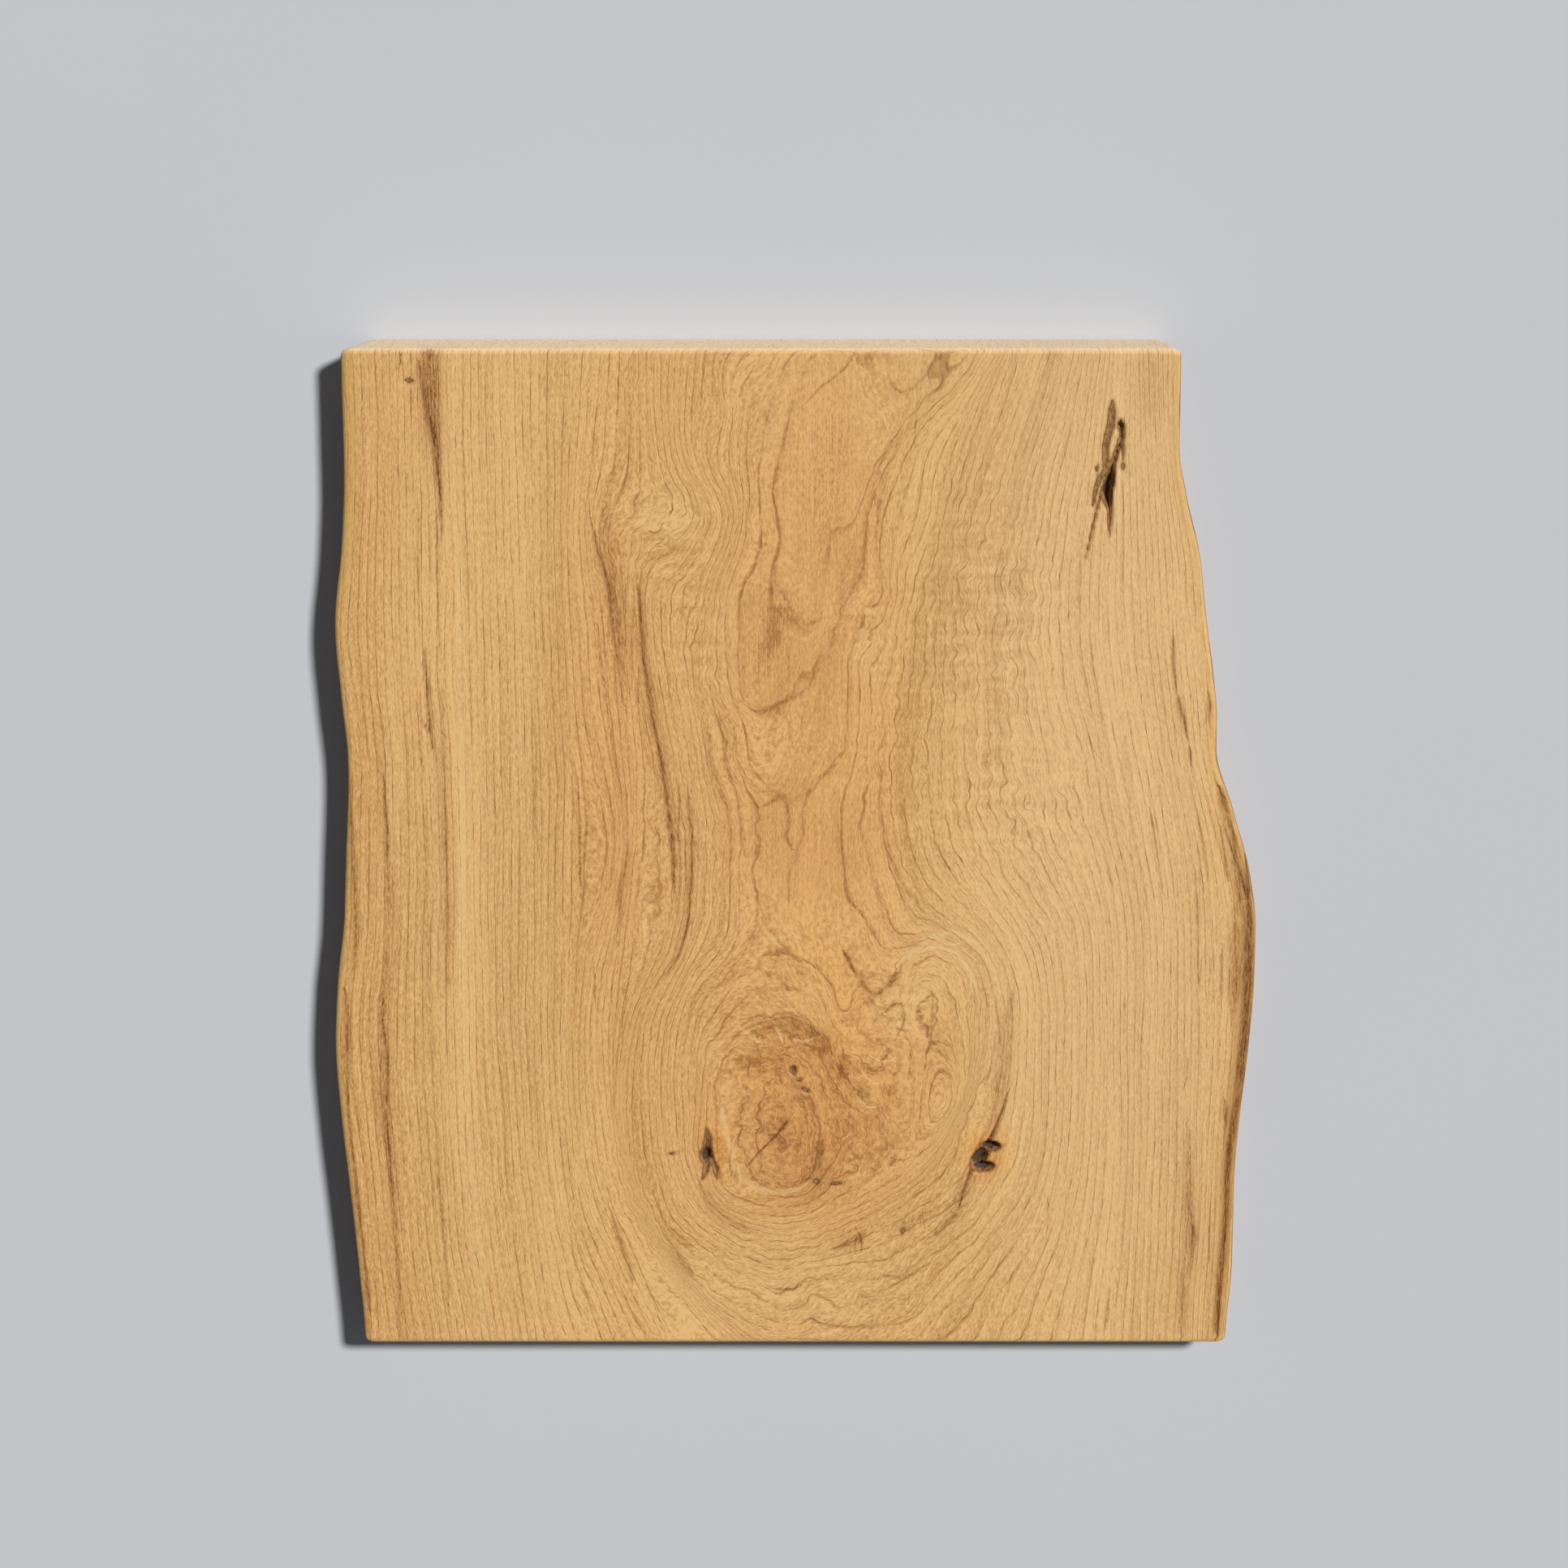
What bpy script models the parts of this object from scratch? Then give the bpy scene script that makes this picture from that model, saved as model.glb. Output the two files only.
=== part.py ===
"""A chestnut slab tabletop: one through-sawn plank with two live edges, square
sawn ends, a planed face with a bark crack and open knot pockets, and a flat back.

Metres, +Z up. The slab lies on its back with the planed face up. The origin is
in the middle of the underside, X runs across the grain and Y along the trunk.
"""

import math

import bmesh
import bpy
import numpy as np

# Driving dimensions
LENGTH = 0.900
THICKNESS = 0.050
RIM_RADIUS = 0.0045
CORNER_RADIUS = 0.007
# How far the back stands in from the planed face at each live edge, as the
# round of the trunk has it.
LEFT_UNDERCUT = 0.0187
RIGHT_UNDERCUT = 0.0116
# The hollows and swells left by the bark on the live edges: the long swell is a
# few ripples long, and the slant turns the ripples as they go down
RIPPLE_DEPTH = 0.0012
RIPPLE_LENGTH = 0.086
SWELL_LENGTH = 0.198
RIPPLE_SLANT = 60.0

# The live edges of the planed face, as (place along the trunk, place across it)
LEFT_EDGE = (
    (-0.450, -0.3840), (-0.385, -0.3880), (-0.315, -0.3938), (-0.235, -0.4010),
    (-0.175, -0.4042), (-0.115, -0.4012), (-0.055, -0.3942), (0.005, -0.3910),
    (0.085, -0.3875), (0.145, -0.3922), (0.205, -0.3960), (0.285, -0.3882),
    (0.345, -0.3852), (0.450, -0.3855),
)
RIGHT_EDGE = (
    (-0.450, 0.3860), (-0.375, 0.3905), (-0.295, 0.3908), (-0.235, 0.3945),
    (-0.175, 0.4002), (-0.115, 0.4038), (-0.065, 0.4042), (-0.015, 0.3980),
    (0.045, 0.3815), (0.100, 0.3660), (0.125, 0.3660), (0.165, 0.3620),
    (0.225, 0.3535), (0.265, 0.3490), (0.325, 0.3350), (0.365, 0.3287),
    (0.450, 0.3285),
)

# How finely the block is divided
STATIONS = 72
COLUMNS = 8
LEVEL_DEPTHS = (0.0, 0.006, 0.015, 0.026, 0.038, 0.050)
BEVEL_STEPS = 3
BOWL_SEGMENTS = 12
BOWL_RINGS = 8
GROOVE_ROUNDING = 2
# Closer than this, two points count as one
NEAR = 0.000001
WELD = 0.00001
# Cutters stand this much above the planed face, so none of their edges lies in it
CUTTER_LIFT = 0.0004

# Grooves in the planed face: a ratio of depth to half width, then the route's
# points as (x, y, half width)
GROOVES = {
    "bark_crack": (3.0, (
        (0.2775, 0.3890, 0.0008), (0.2775, 0.3840, 0.0030), (0.2792, 0.3760, 0.0022),
        (0.2760, 0.3650, 0.0022), (0.2722, 0.3530, 0.0022), (0.2705, 0.3430, 0.0028),
        (0.2685, 0.3340, 0.0045), (0.2665, 0.3260, 0.0052), (0.2677, 0.3180, 0.0038),
        (0.2698, 0.3100, 0.0020), (0.2695, 0.2990, 0.0016), (0.2700, 0.2890, 0.0004),
    )),
    "bark_strip": (0.8, (
        (0.2705, 0.4060, 0.0006), (0.2700, 0.3960, 0.0030), (0.2695, 0.3850, 0.0032),
        (0.2665, 0.3740, 0.0030), (0.2650, 0.3640, 0.0026), (0.2655, 0.3540, 0.0028),
        (0.2655, 0.3450, 0.0022), (0.2605, 0.3380, 0.0022), (0.2572, 0.3280, 0.0018),
        (0.2555, 0.3150, 0.0008),
    )),
    "crack_tail": (5.0, (
        (0.2625, 0.3260, 0.0012), (0.2580, 0.3080, 0.0007), (0.2545, 0.2920, 0.0006),
        (0.2515, 0.2770, 0.0005), (0.2500, 0.2690, 0.0003),
    )),
    "bead_chain": (3.0, (
        (0.2806, 0.3700, 0.0005), (0.2806, 0.3630, 0.0010), (0.2804, 0.3550, 0.0005),
    )),
    "pocket_upper_tail": (2.0, (
        (0.1715, -0.2610, 0.0024), (0.1780, -0.2470, 0.0014), (0.1832, -0.2330, 0.0012),
        (0.1880, -0.2160, 0.0004),
    )),
    "pocket_lower_tail": (2.0, (
        (0.1575, -0.2840, 0.0024), (0.1540, -0.2950, 0.0012), (0.1500, -0.3080, 0.0009),
        (0.1460, -0.3220, 0.0004),
    )),
    "left_pocket_tail": (1.2, (
        (-0.0770, -0.2480, 0.0008), (-0.0765, -0.2560, 0.0030), (-0.0772, -0.2660, 0.0040),
    )),
    "left_pocket_leg": (2.0, (
        (-0.0775, -0.2770, 0.0030), (-0.0785, -0.2870, 0.0024), (-0.0815, -0.2950, 0.0008),
    )),
    "left_pocket_foot": (2.0, (
        (-0.0735, -0.2750, 0.0020), (-0.0700, -0.2850, 0.0024), (-0.0685, -0.2940, 0.0010),
    )),
    "knot_check": (4.0, (
        (-0.0060, -0.2410, 0.0004), (-0.0095, -0.2460, 0.0011), (-0.0140, -0.2520, 0.0007),
        (-0.0220, -0.2600, 0.0004), (-0.0310, -0.2700, 0.0004), (-0.0420, -0.2830, 0.0003),
    )),
    "edge_check": (5.0, (
        (-0.3187, 0.1880, 0.0003), (-0.3177, 0.1600, 0.0005), (-0.3162, 0.1300, 0.0006),
        (-0.3147, 0.1120, 0.0006), (-0.3135, 0.0980, 0.0003),
    )),
    "edge_check_arm": (4.0, (
        (-0.3225, 0.1240, 0.0004), (-0.3192, 0.1190, 0.0006), (-0.3150, 0.1125, 0.0004),
    )),
}

# Bowl-shaped holes in the planed face: x, y, half length, half width, depth and
# the length's turn from X in degrees
BOWLS = {
    "pocket_upper_lobe": (0.1735, -0.2645, 0.0095, 0.0050, 0.0110, 0.0),
    "pocket_middle": (0.1642, -0.2745, 0.0115, 0.0060, 0.0130, 55.0),
    "pocket_lower_lobe": (0.1668, -0.2835, 0.0108, 0.0050, 0.0110, 4.0),
    "left_pocket": (-0.0780, -0.2730, 0.0085, 0.0060, 0.0090, 82.0),
    "left_pinhole": (-0.1085, -0.2710, 0.0031, 0.0014, 0.0030, 8.0),
    "knot_hole": (-0.0008, -0.1935, 0.0042, 0.0026, 0.0060, 96.0),
    "knot_hole_small": (0.0045, -0.2025, 0.0020, 0.0014, 0.0030, 20.0),
    "knot_hole_lower": (0.0100, -0.2118, 0.0038, 0.0017, 0.0040, -25.0),
    "knot_rim_hole": (0.0195, -0.2972, 0.0026, 0.0022, 0.0030, 0.0),
    "knot_rim_slit": (0.0375, -0.2990, 0.0050, 0.0014, 0.0022, 5.0),
    "lower_pinhole": (0.0965, -0.3440, 0.0028, 0.0020, 0.0030, 90.0),
    "crack_bead": (0.2803, 0.3485, 0.0028, 0.0017, 0.0040, 90.0),
    "crack_side_hole": (0.2580, 0.3465, 0.0028, 0.0013, 0.0030, 80.0),
    "corner_pocket": (-0.3275, 0.4232, 0.0046, 0.0022, 0.0022, -22.0),
}

WOOD_COLOUR = (0.64, 0.38, 0.15, 1.0)
WOOD_ROUGHNESS = 0.55


def clear_scene():
    for obj in list(bpy.data.objects):
        bpy.data.objects.remove(obj, do_unlink=True)


def new_collection(name):
    collection = bpy.data.collections.new(name)
    bpy.context.scene.collection.children.link(collection)
    return collection


def wood_material():
    material = bpy.data.materials.new("chestnut")
    material.use_nodes = True
    shader = material.node_tree.nodes["Principled BSDF"]
    shader.inputs["Base Color"].default_value = WOOD_COLOUR
    shader.inputs["Roughness"].default_value = WOOD_ROUGHNESS
    shader.inputs["Metallic"].default_value = 0.0
    material.diffuse_color = WOOD_COLOUR
    return material


def smooth_edge(points, along):
    """Reads a live edge at the places along the trunk: cubic pieces through the
    points, level wherever the edge turns back, so that it never overshoots."""
    knots = np.array([point[0] for point in points])
    values = np.array([point[1] for point in points])
    spans = np.diff(knots)
    rises = np.diff(values) / spans
    slopes = np.zeros(len(knots))
    same_way = rises[:-1] * rises[1:] > 0
    before = rises[:-1][same_way]
    after = rises[1:][same_way]
    slopes[1:-1][same_way] = 2 * before * after / (before + after)
    piece = np.clip(np.searchsorted(knots, along, side="right") - 1, 0, len(spans) - 1)
    t = (along - knots[piece]) / spans[piece]
    start = values[piece] * (1 + 2 * t) * (1 - t) ** 2
    end = values[piece + 1] * t * t * (3 - 2 * t)
    leave = slopes[piece] * spans[piece] * t * (1 - t) ** 2
    arrive = slopes[piece + 1] * spans[piece] * t * t * (t - 1)
    return start + end + leave + arrive


def below_rim(depth):
    """The share of a live edge's height that a depth has covered, from the rim's
    lower line, where it is 0, to the back, where it is 1."""
    return max(0.0, depth - LEVEL_DEPTHS[1]) / (THICKNESS - LEVEL_DEPTHS[1])


def undercut(depth, full):
    """How far a live edge has drawn in at a depth below the planed face: none at
    the rim, then more and more steeply, as on the round of a trunk."""
    share = below_rim(depth)
    return full * (0.75 * share + 0.25 * share ** 2)


def ripple(along, depth, phase):
    """The bark's swells, drawn into the wood only and fading out at both rims."""
    fade = math.sin(math.pi * below_rim(depth))
    wave = math.sin(2 * math.pi * along / RIPPLE_LENGTH + phase + RIPPLE_SLANT * depth)
    swell = math.sin(2 * math.pi * along / SWELL_LENGTH - 2 * phase)
    return RIPPLE_DEPTH * fade * (1 + 0.6 * wave + 0.4 * swell)


def slab_blank():
    """The sawn plank: a cube divided into stations, columns and levels, and then
    drawn out between its two live edges. Its upright corners carry the whole
    bevel weight, and its rims the share that rounds them less."""
    block = bmesh.new()
    bmesh.ops.create_cube(block, size=1.0)
    for axis, parts in ((1, STATIONS), (2, len(LEVEL_DEPTHS) - 1), (0, COLUMNS)):
        lengthwise = [
            edge for edge in block.edges
            if abs(edge.verts[0].co[axis] - edge.verts[1].co[axis]) > 0.5
        ]
        bmesh.ops.subdivide_edges(block, edges=lengthwise, cuts=parts - 1)
    weights = block.edges.layers.float.new("bevel_weight_edge")
    for edge in block.edges:
        shared = [
            axis for axis in range(3)
            if all(abs(abs(vert.co[axis]) - 0.5) < NEAR for vert in edge.verts)
            and abs(edge.verts[0].co[axis] - edge.verts[1].co[axis]) < NEAR
        ]
        if len(shared) == 2:
            edge[weights] = 1.0 if shared == [0, 1] else RIM_RADIUS / CORNER_RADIUS
    for vert in block.verts:
        across, along, up = vert.co
        y = along * LENGTH
        depth = LEVEL_DEPTHS[round((0.5 - up) * (len(LEVEL_DEPTHS) - 1))]
        left = float(smooth_edge(LEFT_EDGE, y))
        left += undercut(depth, LEFT_UNDERCUT) + ripple(y, depth, 0.0)
        right = float(smooth_edge(RIGHT_EDGE, y))
        right -= undercut(depth, RIGHT_UNDERCUT) + ripple(y, depth, 2.1)
        vert.co = (left + (right - left) * (across + 0.5), y, THICKNESS - depth)
    mesh = bpy.data.meshes.new("slab")
    block.to_mesh(mesh)
    block.free()
    return mesh


def cutter_from(mesh, name, collection):
    cutter = bpy.data.objects.new(name, mesh)
    collection.objects.link(cutter)
    cutter.hide_render = True
    cutter.display_type = "WIRE"
    return cutter


def groove_cutter(name, depth_ratio, route, collection):
    """A round tube of changing width along the route, half above the planed face,
    made depth_ratio times as deep as it is wide."""
    curve = bpy.data.curves.new(name, "CURVE")
    curve.dimensions = "3D"
    curve.bevel_depth = 1.0
    curve.bevel_resolution = GROOVE_ROUNDING
    curve.use_fill_caps = True
    spline = curve.splines.new("POLY")
    spline.points.add(len(route) - 1)
    for point, (x, y, half_width) in zip(spline.points, route):
        point.co = (x, y, 0.0, 1.0)
        point.radius = half_width
    tube = bpy.data.objects.new(name + "_route", curve)
    collection.objects.link(tube)
    bpy.context.view_layer.update()
    evaluated = tube.evaluated_get(bpy.context.evaluated_depsgraph_get())
    mesh = bpy.data.meshes.new_from_object(evaluated)
    bpy.data.objects.remove(tube, do_unlink=True)
    shape = bmesh.new()
    shape.from_mesh(mesh)
    bmesh.ops.remove_doubles(shape, verts=shape.verts, dist=WELD)
    for vert in shape.verts:
        vert.co.z = THICKNESS + CUTTER_LIFT + vert.co.z * depth_ratio
    bmesh.ops.recalc_face_normals(shape, faces=shape.faces)
    shape.to_mesh(mesh)
    shape.free()
    return cutter_from(mesh, name, collection)


def bowl_cutter(name, x, y, half_length, half_width, depth, turn, collection):
    """An egg-shaped cutter with its middle on the planed face."""
    shape = bmesh.new()
    bmesh.ops.create_uvsphere(
        shape, u_segments=BOWL_SEGMENTS, v_segments=BOWL_RINGS, radius=1.0
    )
    cosine = math.cos(math.radians(turn))
    sine = math.sin(math.radians(turn))
    for vert in shape.verts:
        long = vert.co.x * half_length
        short = vert.co.y * half_width
        vert.co = (
            x + long * cosine - short * sine,
            y + long * sine + short * cosine,
            THICKNESS + CUTTER_LIFT + vert.co.z * depth,
        )
    mesh = bpy.data.meshes.new(name)
    shape.to_mesh(mesh)
    shape.free()
    return cutter_from(mesh, name, collection)


def cut(slab, cutter):
    boolean = slab.modifiers.new(cutter.name, "BOOLEAN")
    boolean.operation = "DIFFERENCE"
    boolean.solver = "EXACT"
    boolean.object = cutter


def main():
    clear_scene()
    parts = new_collection("chestnut_slab_tabletop")
    cutters = new_collection("cutters")
    slab = bpy.data.objects.new("slab", slab_blank())
    parts.objects.link(slab)
    slab.data.materials.append(wood_material())

    rounding = slab.modifiers.new("rounding", "BEVEL")
    rounding.width = CORNER_RADIUS
    rounding.segments = BEVEL_STEPS
    rounding.limit_method = "WEIGHT"

    for name, (depth_ratio, route) in GROOVES.items():
        cut(slab, groove_cutter(name, depth_ratio, route, cutters))
    for name, sizes in BOWLS.items():
        cut(slab, bowl_cutter(name, *sizes, cutters))


main()
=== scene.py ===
"""Dresses the chestnut slab tabletop: its planed face with rings, knots, bark crack
and pockets, its live edges and sawn ends, and a plain pale stage around it.

Metres, +Z up. Routes and marks that were read off the face are given in
millimetres, as (across the grain, along the trunk).
"""

import functools
import math

import bpy
import numpy as np
from bpy.props import FloatProperty, FloatVectorProperty, PointerProperty
from bpy.types import Operator, Panel, PropertyGroup
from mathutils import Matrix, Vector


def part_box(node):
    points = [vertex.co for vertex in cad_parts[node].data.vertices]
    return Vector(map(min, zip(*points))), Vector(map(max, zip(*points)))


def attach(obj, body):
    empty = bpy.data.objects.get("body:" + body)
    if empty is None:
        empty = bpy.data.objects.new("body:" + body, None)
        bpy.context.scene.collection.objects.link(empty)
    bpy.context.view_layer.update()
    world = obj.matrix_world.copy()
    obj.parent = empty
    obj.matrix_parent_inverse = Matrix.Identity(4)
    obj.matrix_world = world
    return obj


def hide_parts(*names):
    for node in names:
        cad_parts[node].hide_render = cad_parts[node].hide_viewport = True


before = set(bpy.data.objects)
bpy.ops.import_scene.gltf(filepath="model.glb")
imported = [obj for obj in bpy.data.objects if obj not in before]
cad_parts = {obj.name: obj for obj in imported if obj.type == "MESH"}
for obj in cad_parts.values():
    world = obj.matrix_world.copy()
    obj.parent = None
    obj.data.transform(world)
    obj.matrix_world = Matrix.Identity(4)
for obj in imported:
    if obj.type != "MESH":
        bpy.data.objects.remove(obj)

bl_info = {
    "name": "Chestnut slab tabletop",
    "version": (1, 0, 0),
    "blender": (4, 5, 0),
    "location": "3D View > Sidebar > Slab",
    "description": "Makes a live-edge chestnut slab with its rings, knots and bark crack",
    "category": "Object",
}

MM = 0.001
LOW_CORNER, HIGH_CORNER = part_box("slab")
LENGTH = HIGH_CORNER.y - LOW_CORNER.y
THICKNESS = HIGH_CORNER.z - LOW_CORNER.z

# The plank's own form, as the solid in the frame has it
RIM_RADIUS = 0.0045
CORNER_RADIUS = 0.007
LEFT_UNDERCUT = 0.0187
RIGHT_UNDERCUT = 0.0116
RIPPLE_DEPTH = 0.0012
RIPPLE_LENGTH = 0.086
SWELL_LENGTH = 0.198
RIPPLE_SLANT = 60.0
RIM_LINE = 0.006
# Share of the undercut that runs evenly with the height, and how far each side's
# waves are shifted
EVEN_SHARE = 0.75
LEFT_PHASE = 0.0
RIGHT_PHASE = 2.1
# How much the short and the long waves add to the swells
WAVE_SHARE = 0.6
SWELL_SHARE = 0.4
# Fine relief of the bark side: flutes and pits as waves, in radians per metre down
# and per metre along, and their shares of the swells' depth
FLUTE_DOWN = 410.0
FLUTE_ALONG = 23.0
FLUTE_BEND = 1.9
PIT_WAVES = ((171.0, 300.0), (97.0, -210.0))
FLUTE_SHARE = 0.45
PIT_SHARE = 0.35
LEFT_EDGE = (
    (-0.450, -0.3840), (-0.385, -0.3880), (-0.315, -0.3938), (-0.235, -0.4010),
    (-0.175, -0.4042), (-0.115, -0.4012), (-0.055, -0.3942), (0.005, -0.3910),
    (0.085, -0.3875), (0.145, -0.3922), (0.205, -0.3960), (0.285, -0.3882),
    (0.345, -0.3852), (0.450, -0.3855),
)
RIGHT_EDGE = (
    (-0.450, 0.3860), (-0.375, 0.3905), (-0.295, 0.3908), (-0.235, 0.3945),
    (-0.175, 0.4002), (-0.115, 0.4038), (-0.065, 0.4042), (-0.015, 0.3980),
    (0.045, 0.3815), (0.100, 0.3660), (0.125, 0.3660), (0.165, 0.3620),
    (0.225, 0.3535), (0.265, 0.3490), (0.325, 0.3350), (0.365, 0.3287),
    (0.450, 0.3285),
)

# Grooves in the planed face: a ratio of depth to half width, then the route's
# points as (x, y, half width)
GROOVES = {
    "bark_crack": (3.0, (
        (0.2775, 0.3890, 0.0008), (0.2775, 0.3840, 0.0030), (0.2792, 0.3760, 0.0022),
        (0.2760, 0.3650, 0.0022), (0.2722, 0.3530, 0.0022), (0.2705, 0.3430, 0.0028),
        (0.2685, 0.3340, 0.0045), (0.2665, 0.3260, 0.0052), (0.2677, 0.3180, 0.0038),
        (0.2698, 0.3100, 0.0020), (0.2695, 0.2990, 0.0016), (0.2700, 0.2890, 0.0004),
    )),
    "bark_strip": (0.8, (
        (0.2705, 0.4060, 0.0006), (0.2700, 0.3960, 0.0030), (0.2695, 0.3850, 0.0032),
        (0.2665, 0.3740, 0.0030), (0.2650, 0.3640, 0.0026), (0.2655, 0.3540, 0.0028),
        (0.2655, 0.3450, 0.0022), (0.2605, 0.3380, 0.0022), (0.2572, 0.3280, 0.0018),
        (0.2555, 0.3150, 0.0008),
    )),
    "crack_tail": (5.0, (
        (0.2625, 0.3260, 0.0012), (0.2580, 0.3080, 0.0007), (0.2545, 0.2920, 0.0006),
        (0.2515, 0.2770, 0.0005), (0.2500, 0.2690, 0.0003),
    )),
    "bead_chain": (3.0, (
        (0.2806, 0.3700, 0.0005), (0.2806, 0.3630, 0.0010), (0.2804, 0.3550, 0.0005),
    )),
    "pocket_upper_tail": (2.0, (
        (0.1715, -0.2610, 0.0024), (0.1780, -0.2470, 0.0014), (0.1832, -0.2330, 0.0012),
        (0.1880, -0.2160, 0.0004),
    )),
    "pocket_lower_tail": (2.0, (
        (0.1575, -0.2840, 0.0024), (0.1540, -0.2950, 0.0012), (0.1500, -0.3080, 0.0009),
        (0.1460, -0.3220, 0.0004),
    )),
    "left_pocket_tail": (1.2, (
        (-0.0770, -0.2480, 0.0008), (-0.0765, -0.2560, 0.0030), (-0.0772, -0.2660, 0.0040),
    )),
    "left_pocket_leg": (2.0, (
        (-0.0775, -0.2770, 0.0030), (-0.0785, -0.2870, 0.0024), (-0.0815, -0.2950, 0.0008),
    )),
    "left_pocket_foot": (2.0, (
        (-0.0735, -0.2750, 0.0020), (-0.0700, -0.2850, 0.0024), (-0.0685, -0.2940, 0.0010),
    )),
    "knot_check": (4.0, (
        (-0.0060, -0.2410, 0.0004), (-0.0095, -0.2460, 0.0011), (-0.0140, -0.2520, 0.0007),
        (-0.0220, -0.2600, 0.0004), (-0.0310, -0.2700, 0.0004), (-0.0420, -0.2830, 0.0003),
    )),
    "edge_check": (5.0, (
        (-0.3187, 0.1880, 0.0003), (-0.3177, 0.1600, 0.0005), (-0.3162, 0.1300, 0.0006),
        (-0.3147, 0.1120, 0.0006), (-0.3135, 0.0980, 0.0003),
    )),
    "edge_check_arm": (4.0, (
        (-0.3225, 0.1240, 0.0004), (-0.3192, 0.1190, 0.0006), (-0.3150, 0.1125, 0.0004),
    )),
}

# How far clean wood reaches into the fine grooves, whose dark lines are streaks
CLEAN_RIM = {"pocket_upper_tail": 0.0014, "pocket_lower_tail": 0.0014, "knot_check": 0.0010}

# Bowl-shaped holes in the planed face: x, y, half length, half width, depth and
# the length's turn from X in degrees
BOWLS = {
    "pocket_upper_lobe": (0.1735, -0.2645, 0.0095, 0.0050, 0.0110, 0.0),
    "pocket_middle": (0.1642, -0.2745, 0.0115, 0.0060, 0.0130, 55.0),
    "pocket_lower_lobe": (0.1668, -0.2835, 0.0108, 0.0050, 0.0110, 4.0),
    "left_pocket": (-0.0780, -0.2730, 0.0085, 0.0060, 0.0090, 82.0),
    "left_pinhole": (-0.1085, -0.2710, 0.0031, 0.0014, 0.0030, 8.0),
    "knot_hole": (-0.0008, -0.1935, 0.0042, 0.0026, 0.0060, 96.0),
    "knot_hole_small": (0.0045, -0.2025, 0.0020, 0.0014, 0.0030, 20.0),
    "knot_hole_lower": (0.0100, -0.2118, 0.0038, 0.0017, 0.0040, -25.0),
    "knot_rim_hole": (0.0195, -0.2972, 0.0026, 0.0022, 0.0030, 0.0),
    "knot_rim_slit": (0.0375, -0.2990, 0.0050, 0.0014, 0.0022, 5.0),
    "lower_pinhole": (0.0965, -0.3440, 0.0028, 0.0020, 0.0030, 90.0),
    "crack_bead": (0.2803, 0.3485, 0.0028, 0.0017, 0.0040, 90.0),
    "crack_side_hole": (0.2580, 0.3465, 0.0028, 0.0013, 0.0030, 80.0),
    "corner_pocket": (-0.3275, 0.4232, 0.0046, 0.0022, 0.0022, -22.0),
}
# The cutters that made them stood this much above the face
CUTTER_LIFT = 0.0004
# The way into a bowl is measured by its mean half size, but by no more than this
# many half widths
BOWL_SLIMNESS = 1.5

# Where the mesh is fine, across and along
FINE_ACROSS = ((-0.325, -0.305), (-0.090, -0.062), (-0.046, 0.046), (0.143, 0.192), (0.248, 0.286))
FINE_ALONG = ((-0.348, -0.186), (0.266, 0.410))
# Columns further out than these are stretched to the live edges
STRAIGHT_ACROSS = (-0.330, 0.295)
GRID_HALF_WIDTH = 0.39
# The last rows before each sawn end: how far they reach and how close they stand
END_ZONE = 0.002
END_SPACING = 0.0006
# How fast the spacing grows outside a fine zone, and how finely that is added up
SPACING_GROWTH = 0.35
DENSITY_SAMPLES = 6001
BACK_STEP = 4
BACK_MARGIN = 0.012
RIM_STEPS = 5
FLANK_STEPS = 9
# Larger than any distance on the slab
FAR = 1e9

# The trunk's heart lies this far above the planed face, and a ring is this wide
HEART_HEIGHT = 0.100
RING_WIDTH = 0.0055
# The thin plate's own units per millimetre: lengths along the trunk count for less
GRAIN_SCALE = (0.01, 0.0072)
# Lines are read every so many millimetres, and may be missed by a little
GRAIN_STEP = 22.0
GRAIN_SLACK = 0.0006
# Points worked out at once, to save memory
BLOCK = 20000

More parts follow.
